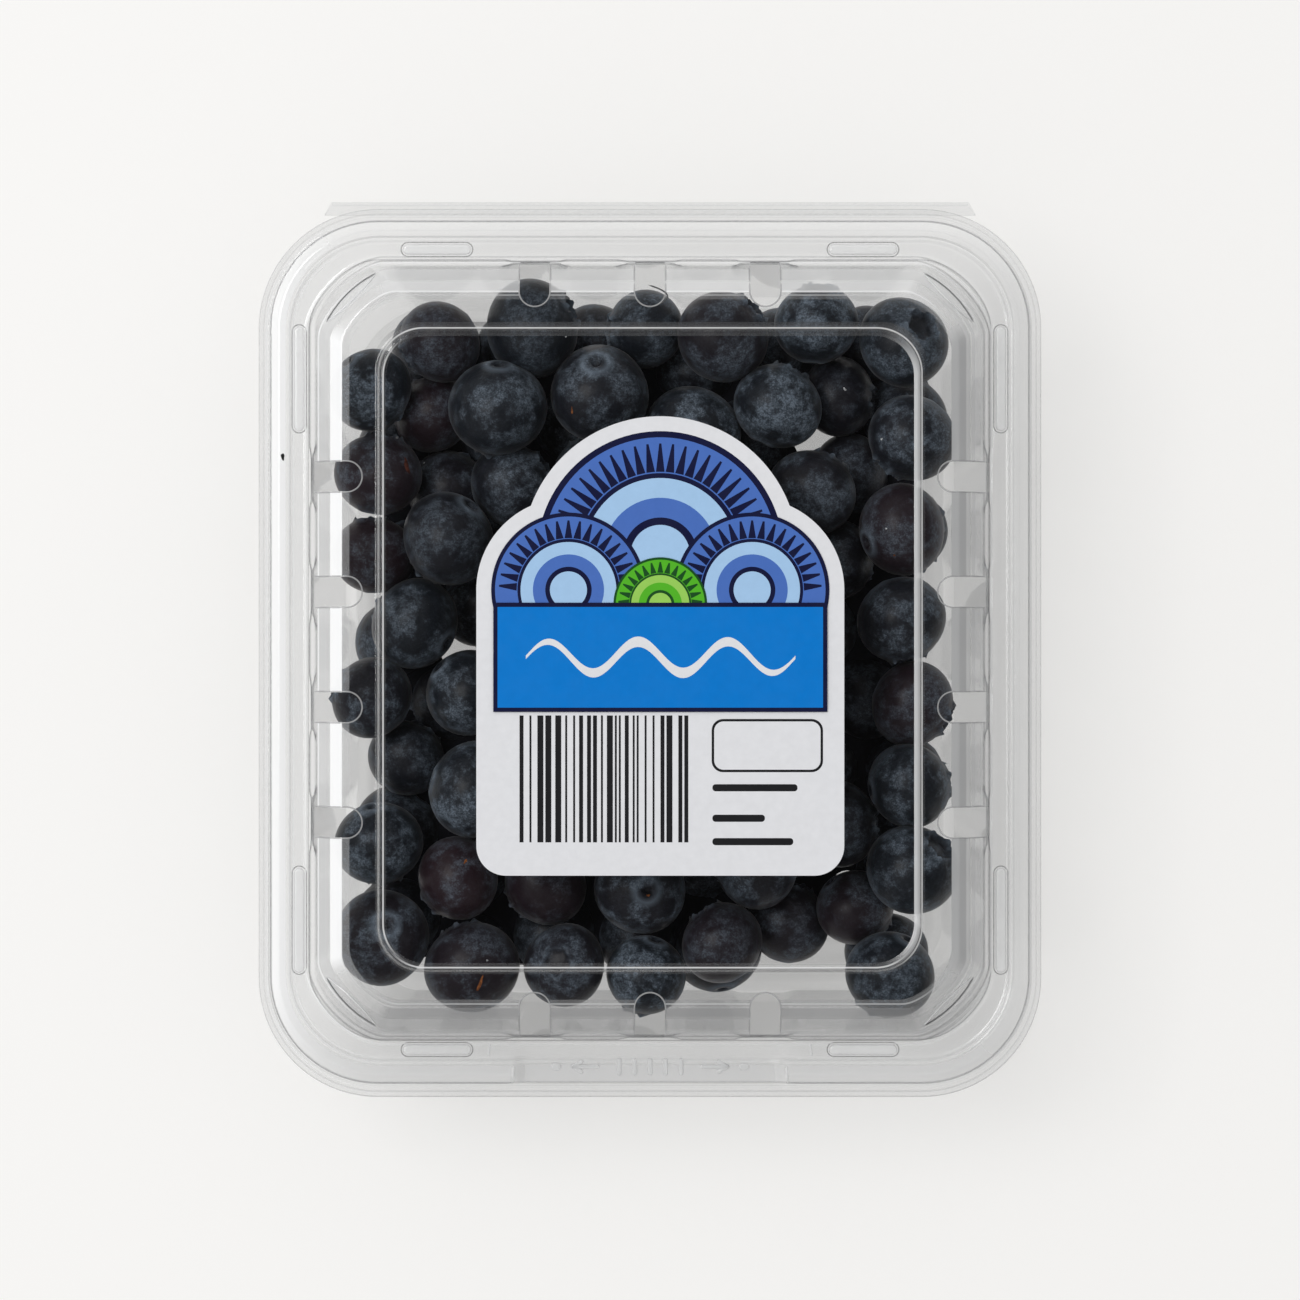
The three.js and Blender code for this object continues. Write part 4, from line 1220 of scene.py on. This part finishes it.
@dataclass(frozen=True)
class PileSizes:
    """How the berries lie, in millimetres, by the same rule as the CAD pile."""

    pitch: float = 12.3
    hidden_pitch: float = 12.9
    hidden_back: float = 17.0
    turns: int = 80
    push: float = 0.3
    pull: float = 0.12
    floor_rest: float = 2.05
    half_width: float = 55.75
    back_edge: float = 62.75
    corner_cut: float = 9 * ROUND / 1.45
    wall_gap: float = 0.75
    gap_margin: float = 1.5


# Places where the floor shows between the berries: x, y and radius
FLOOR_GAPS = np.array([
    (24.9, 30.6, 3.0), (27.8, 15.6, 1.5), (-7.1, -47.8, 2.0), (23.0, -47.0, 6.5), (37.0, -38.5, 1.5),
    (28.5, -34.3, 1.2), (-27.8, 0.0, 1.5), (-43.0, 46.0, 6.0), (44.0, 48.0, 5.0), (-32.1, 38.4, 1.2),
    (-44.0, -47.0, 4.0), (43.5, -40.0, 3.0), (-31.5, -47.5, 2.0), (3.5, 49.0, 3.0),
])


class Pile:
    """Where every berry lies after the pile has settled."""

    # For each level, its height and how freely a berry moves aside in it
    HEIGHTS = {-1: (8.4, 1.0), 0: (13.2, 0.25), 1: (16.8, 0.08), 2: (19.4, 0.05)}

    def __init__(self, sizes: PileSizes = PileSizes()) -> None:
        """Places the seen, hidden and lower berries, and settles them."""
        self.sizes = sizes
        rows = [row[:4] for row in SEEN_BERRIES] + self.hidden() + self.lower()
        table = np.array(rows)
        self.diameter = table[:, 2]
        self.level = table[:, 3].astype(int)
        rest = np.array([self.HEIGHTS[level] for level in self.level])
        self.height, self.free = rest[:, 0], rest[:, 1:]
        self.place = np.column_stack([table[:, :2], self.height])
        for _ in range(sizes.turns):
            self.settle()

    def hidden(self) -> list[tuple[float, float, float, int]]:
        """The upper berries under the label, in staggered rows."""
        s, found = self.sizes, []
        for row in range(4):
            shift = -12.5 if row % 2 == 0 else -6.0
            for column in range(3):
                seed = row * 7 + column
                x = shift + column * s.hidden_pitch + 2 * (scatter(seed) - 0.5)
                y = s.hidden_back - row * s.pitch + 2 * (scatter(seed + 50) - 0.5)
                found.append((x, y, 12 + 1.8 * scatter(seed + 90), 1))
        return found

    def lower(self) -> list[tuple[float, float, float, int]]:
        """The lower layer, in staggered rows over the floor."""
        found = []
        for row in range(8):
            columns = 7 - row % 2
            for column in range(columns):
                seed = 200 + row * 11 + column
                x = (column - (columns - 1) / 2) * self.sizes.pitch + 1.2 * (scatter(seed) - 0.5)
                y = (row - 3.5) * self.sizes.pitch + 1.2 * (scatter(seed + 60) - 0.5)
                clear = np.hypot(*(FLOOR_GAPS[:, :2] - (x, y)).T) - FLOOR_GAPS[:, 2]
                if clear.min() > self.sizes.gap_margin:
                    found.append((x, y, 11.6 + 1.7 * scatter(seed + 120), -1))
        return found

    def settle(self) -> None:
        """One turn: crossing berries push apart, and each is drawn back to its height."""
        s, radius = self.sizes, self.diameter / 2
        gap = self.place[None] - self.place[:, None]
        apart = np.linalg.norm(gap, axis=-1) + np.eye(len(radius))
        over = np.clip(radius[:, None] + radius[None] - apart, 0, None) * (1 - np.eye(len(radius)))
        push = -(s.push * over / apart)[..., None] * gap
        push = push.sum(axis=1)
        way = self.place[:, None, :2] - FLOOR_GAPS[None, :, :2]
        far = np.linalg.norm(way, axis=-1)
        short = np.clip(FLOOR_GAPS[:, 2] + radius[:, None] - far, 0, None) * (self.level < 0)[:, None]
        push[:, :2] += (s.push * (short / far)[..., None] * way).sum(axis=1)
        self.place[:, :2] += push[:, :2] * self.free
        self.place[:, 2] += push[:, 2] + s.pull * (self.height - self.place[:, 2])
        self.place[:, 2] = np.maximum(self.place[:, 2], s.floor_rest + radius)
        inset = WALL.inset(WALL.share(self.place[:, 2])) + s.wall_gap + radius
        reach = np.column_stack([s.half_width - inset, s.back_edge - inset])
        self.place[:, :2] = np.clip(self.place[:, :2], -reach, reach)
        room = (reach.sum(axis=1) - np.abs(self.place[:, :2]).sum(axis=1)) * ROUND
        corner = np.clip(s.corner_cut - (math.sqrt(2) - 1) * radius - room, 0, None) * ROUND
        self.place[:, :2] -= np.sign(self.place[:, :2]) * corner[:, None]


@dataclass(frozen=True)
class Disc:
    """A lobe of the label: its middle and radius."""

    x: float
    y: float
    r: float

    def arc(self, start: float, end: float, steps: int = 48) -> Array:
        """Points on the lobe from one angle to another."""
        turn = np.linspace(start, end, steps)
        return np.stack([self.x + self.r * np.cos(turn), self.y + self.r * np.sin(turn)], axis=1)

    def angle(self, point: Array) -> float:
        """The angle of a point seen from the lobe's middle."""
        return math.atan2(point[1] - self.y, point[0] - self.x)

    def crossing(self, other: "Disc") -> Array:
        """Where two lobes cross, on the upper side."""
        way = np.array([other.x - self.x, other.y - self.y])
        apart = float(np.hypot(*way))
        along = (apart ** 2 + self.r ** 2 - other.r ** 2) / (2 * apart)
        up = math.sqrt(self.r ** 2 - along ** 2)
        way /= apart
        return np.array([self.x, self.y]) + along * way + up * np.array([-way[1], way[0]])


@dataclass(frozen=True)
class BerrySizes:
    """A berry in shares of its radius, and the gaps round the core in millimetres."""

    flatness: float = 0.93
    crown_radius: float = 0.36
    crown_rise: float = 0.11
    crown_depth: float = 0.12
    stem_radius: float = 0.10
    stem_depth: float = 0.13
    collar_radius: float = 0.27
    wobble: float = 0.022
    around: int = 45
    rows: int = 36
    core_gap: float = 4.35
    shaft_gap: float = 1.2


class Berries:
    """The berries as joined meshes over a dark core of painted shade."""

    def __init__(self, pile: Pile, sizes: BerrySizes = BerrySizes()) -> None:
        """Keeps the settled pile and the shape's sizes."""
        self.pile = pile
        self.sizes = sizes

    def turns(self) -> Array:
        """The turn of each berry, as matrices whose last column is its crown's direction."""
        count = len(self.pile.diameter)
        seeds = np.arange(count)
        spin = 2 * math.pi * scatter(seeds + 401)
        lean = np.radians(78 + 36 * scatter(seeds + 503))
        axis = np.stack([np.sin(lean) * np.cos(spin), np.sin(lean) * np.sin(spin), np.cos(lean)], axis=1)
        for number, (pole, x, y) in TURNED_POLES.items():
            up = np.array([x, y, math.sqrt(1 - x * x - y * y)])
            axis[number] = up if pole is Pole.CROWN else -up
        helper = np.where(np.abs(axis[:, 2:]) < 0.9, (0.0, 0.0, 1.0), (1.0, 0.0, 0.0))
        side = np.cross(helper, axis)
        side /= np.linalg.norm(side, axis=1, keepdims=True)
        return np.stack([side, np.cross(axis, side), axis], axis=2)

    def surface(self, seeds: Array) -> tuple[Array, Array]:
        """The surface of unit berries, crown up.

        Args:
            seeds: one number for each berry.

        Returns:
            The points, as berries by rows by steps by three, and how much each belongs
            to a dark hollow and to a pale rim. A flattened ball wobbles by three slow
            waves. Near its upper pole a torn, five-lobed rim stands up round a shallow
            bowl, and at its lower pole a pale collar lies round the stem's small pit.
        """
        s = self.sizes
        share = np.linspace(0.0, 1.0, s.rows)
        polar = (math.pi * share - 0.31 * np.sin(2 * math.pi * share))[None, :, None]
        turn = np.linspace(0.0, 2 * math.pi, s.around, endpoint=False)[None, None, :]
        phase = 2 * math.pi * scatter(seeds[:, None] + 17 * np.arange(4))[:, :, None, None]
        waves = (np.sin(2 * turn + phase[:, 0]) * np.sin(polar) ** 2
                 + 0.7 * np.sin(3 * turn + phase[:, 1]) * np.sin(polar) ** 3
                 + np.sin(turn + phase[:, 2]) * np.sin(2 * polar))
        radius = 1 + s.wobble * waves
        flat = np.sin(polar) * np.ones_like(turn)
        upper = smooth((math.pi / 2 - polar) * 4)
        lobes = 0.6 + 0.3 * np.cos(5 * turn + phase[:, 3]) + 0.1 * np.cos(12 * turn + phase[:, 1])
        rim = np.exp(-((flat - s.crown_radius * (0.78 + 0.34 * lobes)) / 0.05) ** 2) * lobes
        bowl = smooth((s.crown_radius * (0.78 + 0.34 * lobes) - flat) / 0.09)
        lift = upper * (s.crown_rise * rim - s.crown_depth * bowl)
        hole = (1 - upper) * np.exp(-(flat / s.stem_radius) ** 4)
        collar = (1 - upper) * np.exp(-((flat - s.collar_radius) / 0.07) ** 2)
        z = s.flatness * radius * np.cos(polar) + lift + s.stem_depth * hole - 0.012 * collar
        x = radius * flat * np.cos(turn) * np.ones_like(z)
        y = radius * flat * np.sin(turn) * np.ones_like(z)
        crown = np.stack([upper * 0.6 * bowl * (1 - rim) + 0.8 * hole, upper * rim + 0.9 * collar], axis=-1)
        return np.stack([x, y, z], axis=-1), crown * np.ones_like(z)[..., None]

    def mesh(self, name: str, chosen: Array) -> bpy.types.Mesh:
        """Joins the chosen berries into one mesh with their tints.

        Args:
            name: the mesh's name.
            chosen: the numbers of the berries.

        Returns:
            The mesh, with the point attribute "tint".
        """
        unit, crown = self.surface(chosen)
        radius = self.pile.diameter[chosen] / 2 * MM
        size = radius * (1.0 + 0.035 * (scatter(chosen + 77) - 0.5))
        placed = np.einsum("bij,brcj->brci", self.turns()[chosen], unit)
        placed = placed * size[:, None, None, None] + (self.pile.place[chosen] * MM)[:, None, None]
        berries, rows, around = placed.shape[:3]
        one = grid_faces(rows, around)
        faces = (one[None] + (np.arange(berries) * rows * around)[:, None, None]).reshape(-1, 4)
        mesh = new_mesh(name, placed, faces[:, ::-1])
        looks = np.array([(row[4], row[5]) for row in SEEN_BERRIES])
        tint = np.full((berries, 2), (0.5, 0.2))
        seen = chosen < len(looks)
        tint[seen] = looks[chosen[seen]]
        values = np.ones((berries, rows, around, 4), np.float32)
        values[..., :2] = tint[:, None, None]
        values[..., 2:] = crown
        attribute = mesh.attributes.new("tint", "FLOAT_COLOR", "POINT")
        attribute.data.foreach_set("color", values.ravel())
        tidy_normals(mesh, 70.0)
        return mesh

    def core(self) -> bpy.types.Object:
        """A dark solid of painted shade for the middle of the pile, tapered like the tray."""
        s, outline = self.sizes, Outline(side_steps=6, corner_steps=4)

        def level(z: float, extra: float) -> list[float]:
            """One ring of the core at a height."""
            return ring(WALL.inset(WALL.share(z)) + s.core_gap + extra, z, 9, 0.6)

        rings = np.array([level(6, 5), level(7, 1), level(9.4, 1), level(10.6, 3)])
        upper = closing_rings(rings[-1], outline, 2)
        lower = closing_rings(rings[0], outline, 2)[::-1]
        points = outline.ring_grid(np.concatenate([lower, rings, upper]), 0.0)
        mesh = new_mesh("pile_shade_core", points, grid_faces(*points.shape[:2]))
        tidy_normals(mesh)
        piece = add_object(mesh, "base")
        shafts = [prism(Disc(x, y, r + s.shaft_gap).arc(0, 1.9 * math.pi, 20) * MM, 0.0, 20 * MM)
                  for x, y, r in FLOOR_GAPS]
        cut(piece, joined("gap_cutter", shafts))
        dress(piece, PileShadeFinish().material())
        return piece

    def build(self) -> list[bpy.types.Object]:
        """Builds and dresses the pile, and gives its pieces."""
        numbers = np.arange(len(self.pile.diameter))
        upper = numbers[self.pile.level >= 0]
        lower = numbers[self.pile.level < 0]
        finish = BerryFinish().material()
        pieces = []
        for name, chosen in (("berries_upper", upper), ("berries_lower", lower)):
            mesh = self.mesh(name, chosen)
            mesh.materials.append(finish)
            pieces.append(add_object(mesh, "base"))
        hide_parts("berries")
        return [*pieces, self.core()]


@dataclass(frozen=True)
class LabelSizes:
    """The label's die line and print, in millimetres."""

    left: float = -24.5
    right: float = 27.4
    bottom: float = -31.9
    shoulder: float = 8.4
    top: float = 32.9
    corner: float = 4.2
    lobe: float = 13.0
    centre_lobe: float = 19.5
    border: float = 2.1
    hill_floor: float = 5.4
    band_edge: float = 0.6
    bars_start: float = -18.4
    bars_end: float = 6.0
    bars_low: float = -27.2
    bars_high: float = -9.3
    bar: float = 0.28
    low: float = 35.74
    paper_top: float = 35.98
    layer: float = 0.011

    @property
    def middle(self) -> float:
        """The label's own middle line."""
        return (self.left + self.right) / 2


class Label:
    """A printed paper label with a lobed top, stuck on the lid's panel."""

    def __init__(self, sizes: LabelSizes = LabelSizes()) -> None:
        """Keeps the sizes and starts without any print."""
        self.sizes = sizes
        self.fields: list[tuple[Ink, Part]] = []

    def lobes(self, inset: float) -> tuple[Disc, Disc, Disc]:
        """The three lobes, drawn in by a distance."""
        s = self.sizes
        return (Disc(s.left + s.lobe, s.shoulder, s.lobe - inset),
                Disc(s.middle, s.top - s.centre_lobe, s.centre_lobe - inset),
                Disc(s.right - s.lobe, s.shoulder, s.lobe - inset))

    def die_line(self) -> Array:
        """The outline of the paper, anticlockwise."""
        s = self.sizes
        left, centre, right = self.lobes(0.0)
        left_meet = left.crossing(centre)
        right_meet = centre.crossing(right)
        low = s.bottom + s.corner
        return np.concatenate([
            Disc(s.left + s.corner, low, s.corner).arc(math.pi, 1.5 * math.pi, 16),
            Disc(s.right - s.corner, low, s.corner).arc(-math.pi / 2, 0, 16),
            right.arc(0, right.angle(right_meet)),
            centre.arc(centre.angle(right_meet), centre.angle(left_meet)),
            left.arc(left.angle(left_meet), math.pi),
        ])

    def field(self, ink: Ink, outline: Array, layer: int) -> None:
        """Prints a flat field of one ink; higher layers cover lower ones."""
        s = self.sizes
        top = s.paper_top + s.layer * layer
        self.fields.append((ink, prism(outline * MM, (top - s.layer) * MM, top * MM)))

    def band(self, ink: Ink, left: Array, right: Array, layer: int) -> None:
        """Prints a flat band between two lines."""
        top = self.sizes.paper_top + self.sizes.layer * layer
        self.fields.append((ink, ribbon(left * MM, right * MM, (top - self.sizes.layer) * MM, top * MM)))

    def box(self, ink: Ink, x0: float, y0: float, x1: float, y1: float,
            layer: int, corner: float = 0.0) -> None:
        """Prints an upright box, with round corners where a radius is given."""
        if corner:
            outline = np.concatenate([
                Disc(x0 + corner, y0 + corner, corner).arc(math.pi, 1.5 * math.pi, 8),
                Disc(x1 - corner, y0 + corner, corner).arc(-math.pi / 2, 0, 8),
                Disc(x1 - corner, y1 - corner, corner).arc(0, math.pi / 2, 8),
                Disc(x0 + corner, y1 - corner, corner).arc(math.pi / 2, math.pi, 8),
            ])
        else:
            outline = np.array([(x0, y0), (x1, y0), (x1, y1), (x0, y1)])
        self.field(ink, outline, layer)

    def hill(self, disc: Disc, floor: float, rays: int, layer: int, inks: tuple[Ink, Ink, Ink]) -> None:
        """Prints one lobe as a ringed hill over a level floor, with rays round its heart.

        Args:
            disc: the lobe.
            floor: the height on the label where the hill stands.
            rays: how many rays it has.
            layer: the lowest of the seven layers that it takes.
            inks: the inks of its lines, its field and its heart.
        """
        dark, mid, pale = inks
        for turn in np.linspace(0.06, math.pi - 0.06, rays):
            way = np.array([math.cos(turn), math.sin(turn)])
            side = np.array([-way[1], way[0]])
            middle = np.array([disc.x, disc.y])
            foot, tip = middle + 0.67 * disc.r * way, middle + 0.90 * disc.r * way
            wide = 0.30 * disc.r * math.pi / rays
            outline = np.array([foot + wide * side, foot - wide * side, tip - 0.25 * wide * side,
                                tip + 0.25 * wide * side])[::-1]
            if outline[:, 1].min() > floor:
                self.field(dark, outline, layer + 2)
        for step, (ink, share) in enumerate(((dark, 1.0), (mid, 0.95), (dark, 0.66), (pale, 0.62),
                                             (mid, 0.46), (dark, 0.30), (pale, 0.24))):
            self.cap(ink, disc, share, floor, layer + step)

    def cap(self, ink: Ink, disc: Disc, share: float, floor: float, layer: int) -> None:
        """Prints the part of a smaller disc that stands over a level floor."""
        smaller = Disc(disc.x, disc.y, disc.r * share)
        drop = math.asin(max(-1.0, (floor - disc.y) / smaller.r))
        self.field(ink, smaller.arc(drop, math.pi - drop, 64), layer)

    def print_hills(self) -> None:
        """Prints the three blue hills of the lobed top and the green one before them."""
        left, centre, right = self.lobes(self.sizes.border)
        floor, blue = self.sizes.hill_floor, (Ink.NAVY, Ink.MID, Ink.PALE)
        self.hill(centre, floor, 27, 1, blue)
        self.hill(left, floor, 19, 8, blue)
        self.hill(right, floor, 19, 8, blue)
        green = Disc(self.sizes.middle, 6.4, 6.6)
        self.hill(green, floor, 15, 15, (Ink.DEEP_GREEN, Ink.GREEN, Ink.LEAF))

    def print_band(self) -> None:
        """Prints the bare blue band in its navy border."""
        edge, (x0, y0, x1, y1) = self.sizes.band_edge, (-22.1, -8.8, 25.0, 6.6)
        self.box(Ink.NAVY, x0, y0, x1, y1, 22)
        self.box(Ink.BAND, x0 + edge, y0 + edge, x1 - edge, y1 - edge, 23)
        share = np.linspace(0.0, 1.0, 90)
        line = -17.5 + 38.0 * share
        wave = -1.1 + 2.2 * np.sin(share * 6 * math.pi)
        half = 0.75 * np.sin(math.pi * np.clip(share, 0.02, 0.98)) ** 0.4
        under = np.stack([line, wave - half], axis=1)
        over = np.stack([line, wave + half], axis=1)
        self.band(Ink.WHITE, over, under, 24)

    def print_foot(self) -> None:
        """Prints the upright bars, the empty frame and the plain lines."""
        s = self.sizes
        x, step = s.bars_start, 0
        while x < s.bars_end - 0.2:
            width = s.bar * (1 + int(3 * scatter(step + 5)))
            self.box(Ink.BLACK, x, s.bars_low, min(x + width, s.bars_end), s.bars_high, 1)
            x += width + s.bar * (1 + int(2.6 * scatter(step + 77)))
            step += 1
        self.box(Ink.BLACK, 8.7, -17.3, 24.4, -9.8, 1, 1.6)
        self.box(Ink.WHITE, 9.05, -16.95, 24.05, -10.15, 2, 1.3)
        for y, x1 in ((-19.5, 20.8), (-23.8, 16.2), (-27.1, 20.2)):
            self.box(Ink.BLACK, 8.8, y - 0.5, x1, y + 0.5, 1, 0.45)

    def build(self) -> bpy.types.Object:
        """Builds and dresses the label, and gives the piece."""
        s = self.sizes
        paper = prism(self.die_line() * MM, s.low * MM, s.paper_top * MM)
        self.print_hills()
        self.print_band()
        self.print_foot()
        mesh = joined("label_print", [paper, *(part for _, part in self.fields)])
        inks = list(Ink)
        for ink in inks:
            mesh.materials.append(ink.material())
        numbers = [(inks.index(ink), part) for ink, part in [(Ink.WHITE, paper), *self.fields]]
        quads = np.concatenate([np.full(len(part[1]), number) for number, part in numbers])
        triangles = np.concatenate([np.full(len(part[2]), number) for number, part in numbers])
        mesh.polygons.foreach_set("material_index", np.concatenate([quads, triangles]).astype(np.int32))
        mesh.shade_flat()
        piece = add_object(mesh, "lid")
        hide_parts("label")
        return piece


@dataclass(frozen=True)
class Fleck:
    """A scar, painted glint or dark speck: its place and size in millimetres, and its turn in degrees."""

    spot: Spot
    x: float
    y: float
    length: float
    width: float
    turn: float
    rise: float = 0.06


# Scars on the berries' skin, and pale specks that are painted highlights where small glints show.
SKIN_FLECKS = (
    Fleck(Spot.SCAR, -24.2, -47.6, 2.6, 0.45, 75), Fleck(Spot.SCAR, -11.1, 34.0, 1.1, 0.30, 80),
    Fleck(Spot.SCAR, -26.3, -30.2, 0.9, 0.35, 60), Fleck(Spot.DULL_SCAR, -34.7, 26.2, 2.4, 0.75, 100),
    Fleck(Spot.PALE, -32.5, 26.8, 0.35, 0.30, 0), Fleck(Spot.PALE, -12.0, 44.6, 0.30, 0.25, 0),
    Fleck(Spot.PALE, 27.9, 37.3, 0.60, 0.30, 130), Fleck(Spot.PALE, 33.0, 30.0, 0.45, 0.30, 20),
    Fleck(Spot.PALE, 33.6, 17.2, 0.30, 0.25, 0), Fleck(Spot.PALE, -17.2, -41.5, 0.30, 0.25, 0),
    Fleck(Spot.SCAR, 34.8, 13.4, 0.35, 0.30, 0), Fleck(Spot.SCAR, -0.25, -35.0, 0.6, 0.5, 20),
    Fleck(Spot.DULL_SCAR, 5.0, -46.0, 0.9, 0.3, 20),
)
LID_FLECKS = (Fleck(Spot.DIRT, -52.2, 27.4, 1.05, 0.50, 95, 0.12),)


class Flecks:
    """Small spots that lie on a piece, seen from above."""

    def __init__(self, name: str, body: str, slot: str, under: bpy.types.Object,
                 spots: tuple[Fleck, ...]) -> None:
        """Keeps what the spots are called, what they ride on and where they lie."""
        self.name, self.body, self.slot = name, body, slot
        self.under, self.spots = under, spots

    def spot(self, tree: BVHTree, fleck: Fleck) -> Part:
        """One spot: a low ball with an uneven outline, laid on the surface under or nearest it."""
        above = Vector((fleck.x * MM, fleck.y * MM, OVERHEAD))
        place, normal, _, _ = tree.ray_cast(above, DOWN)
        if place is None:
            log.info("no surface under %s, so it lies on the nearest", fleck)
            place, normal, _, _ = tree.find_nearest(above)
        up = np.array(normal)
        turn = math.radians(fleck.turn)
        along = np.array([math.cos(turn), math.sin(turn), 0.0])
        along -= up * (along @ up)
        along /= np.linalg.norm(along)
        across = np.cross(up, along)
        polar = np.linspace(0.0, math.pi, 8)[:, None]
        around = np.linspace(0.0, 2 * math.pi, 14, endpoint=False)[None, :]
        reach = np.sin(polar) * (1 + 0.16 * np.sin(3 * around + fleck.x) + 0.1 * np.sin(5 * around + fleck.y))
        parts = (reach * np.cos(around) * fleck.length / 2, reach * np.sin(around) * fleck.width / 2,
                 np.cos(polar) * fleck.rise * np.ones_like(around))
        local = np.stack(parts, axis=-1) * MM
        points = local @ np.stack([along, across, up]) + np.array(place)
        return points.reshape(-1, 3), grid_faces(*points.shape[:2]), np.empty((0, 3), int)

    def build(self) -> bpy.types.Object:
        """Builds and dresses the spots, and gives the piece."""
        tree = surface_tree(self.under)
        parts = [self.spot(tree, fleck) for fleck in self.spots]
        mesh = joined(self.name, parts)
        kinds = list(dict.fromkeys(fleck.spot for fleck in self.spots))
        for kind in kinds:
            mesh.materials.append(kind.material())
        numbers = [np.full(len(part[1]), kinds.index(fleck.spot)) for fleck, part in zip(self.spots, parts)]
        mesh.polygons.foreach_set("material_index", np.concatenate(numbers).astype(np.int32))
        tidy_normals(mesh, 60.0)
        return add_object(mesh, self.body)


@dataclass(frozen=True)
class Studio:
    """The pale floor, the soft light and the camera straight above."""

    camera_height: float = 1.08
    lens: float = 205.0
    floor_half: float = 4.0
    tent_light: float = 0.64
    from_left: float = 0.34
    from_back: float = 0.14
    ceiling_start: float = 0.955
    ceiling_end: float = 0.985
    ceiling_dim: float = 0.05
    key_place: tuple[float, float, float] = (-0.6, 0.3, 1.1)
    key_size: float = 0.6
    key_power: float = 6.0
    floor_glow: float = 0.475

    def floor(self) -> None:
        """Lays the pale floor."""
        edge = self.floor_half
        points = np.array([(-edge, -edge, 0.0), (edge, -edge, 0.0), (edge, edge, 0.0), (-edge, edge, 0.0)])
        mesh = new_mesh("floor", points, np.array([[0, 1, 2, 3]]))
        kit = NodeKit("pale_floor")
        shader = kit.principled(Roughness=0.9, Specular_IOR_Level=0.05, Emission_Strength=self.floor_glow)
        colour = kit.mix(kit.noise(6.0), (0.495, 0.49, 0.482), (0.505, 0.50, 0.492))
        kit.link(colour, shader.inputs["Base Color"])
        shader.inputs["Emission Color"].default_value = (1.0, 0.993, 0.975, 1.0)
        mesh.materials.append(kit.finish(shader.outputs[0]))
        floor = bpy.data.objects.new("floor", mesh)
        bpy.context.scene.collection.objects.link(floor)

    def world(self) -> None:
        """Lights the room as a pale tent, brighter on the left, with a small dim ceiling."""
        world = bpy.data.worlds.new("studio")
        world.use_nodes = True
        tree = world.node_tree
        tree.nodes.clear()
        place = tree.nodes.new("ShaderNodeTexCoord").outputs["Generated"]
        parts = tree.nodes.new("ShaderNodeSeparateXYZ")
        tree.links.new(place, parts.inputs[0])
        ceiling = tree.nodes.new("ShaderNodeMapRange")
        ceiling.interpolation_type = "SMOOTHSTEP"
        for name, number in (("From Min", self.ceiling_start), ("From Max", self.ceiling_end),
                             ("To Min", 1.0), ("To Max", self.ceiling_dim)):
            ceiling.inputs[name].default_value = number
        tree.links.new(parts.outputs["Z"], ceiling.inputs["Value"])
        across = tree.nodes.new("ShaderNodeVectorMath")
        across.operation = "DOT_PRODUCT"
        across.inputs[1].default_value = (-self.from_left, self.from_back, 0.0)
        tree.links.new(place, across.inputs[0])
        side = tree.nodes.new("ShaderNodeMath")
        side.operation = "MULTIPLY_ADD"
        side.inputs[1].default_value = side.inputs[2].default_value = self.tent_light
        tree.links.new(across.outputs["Value"], side.inputs[0])
        strength = tree.nodes.new("ShaderNodeMath")
        strength.operation = "MULTIPLY"
        tree.links.new(side.outputs[0], strength.inputs[0])
        tree.links.new(ceiling.outputs["Result"], strength.inputs[1])
        background = tree.nodes.new("ShaderNodeBackground")
        background.inputs["Color"].default_value = (1.0, 1.0, 1.0, 1.0)
        output = tree.nodes.new("ShaderNodeOutputWorld")
        tree.links.new(strength.outputs[0], background.inputs["Strength"])
        tree.links.new(background.outputs[0], output.inputs["Surface"])
        bpy.context.scene.world = world

    def lamp(self, name: str, place: tuple[float, float, float], size: float, power: float) -> None:
        """Hangs a square softbox that faces the pack."""
        light = bpy.data.lights.new(name, "AREA")
        light.size = size
        light.energy = power
        lamp = bpy.data.objects.new(name, light)
        lamp.location = place
        lamp.rotation_euler = Vector(place).to_track_quat("Z", "Y").to_euler()
        bpy.context.scene.collection.objects.link(lamp)

    def camera(self) -> None:
        """Hangs the camera straight above, with the back of the pack up."""
        data = bpy.data.cameras.new("camera")
        data.lens = self.lens
        data.sensor_width = 36.0
        data.clip_start, data.clip_end = 0.01, 20.0
        camera = bpy.data.objects.new("camera", data)
        camera.location = (0.0, -0.07 * MM, self.camera_height)
        bpy.context.scene.collection.objects.link(camera)
        bpy.context.scene.camera = camera

    def build(self) -> None:
        """Sets up the whole studio and the way that light is traced and shown."""
        self.floor()
        self.world()
        self.lamp("key_left", self.key_place, self.key_size, self.key_power)
        self.camera()
        scene = bpy.context.scene
        scene.view_settings.view_transform = "Standard"
        scene.cycles.max_bounces = 8
        scene.cycles.transparent_max_bounces = 32


def main() -> None:
    """Builds every piece in order and reports each one."""
    logging.basicConfig(level=logging.INFO, format="%(name)s: %(message)s")
    outline = Outline()
    tray, lid = Tray(outline).build(), Lid(outline).build()
    berries = Berries(Pile()).build()
    pieces = [
        tray, lid, HingeWeb().build(), *berries, Label().build(),
        Flecks("skin_flecks", "base", "berry_skin", berries[0], SKIN_FLECKS).build(),
        Flecks("lid_fleck", "lid", "clear_sheet", lid, LID_FLECKS).build(),
    ]
    Studio().build()
    for piece in pieces:
        log.info("%s has %d faces", piece.name, len(piece.data.polygons))


if __name__ == "__main__":
    main()
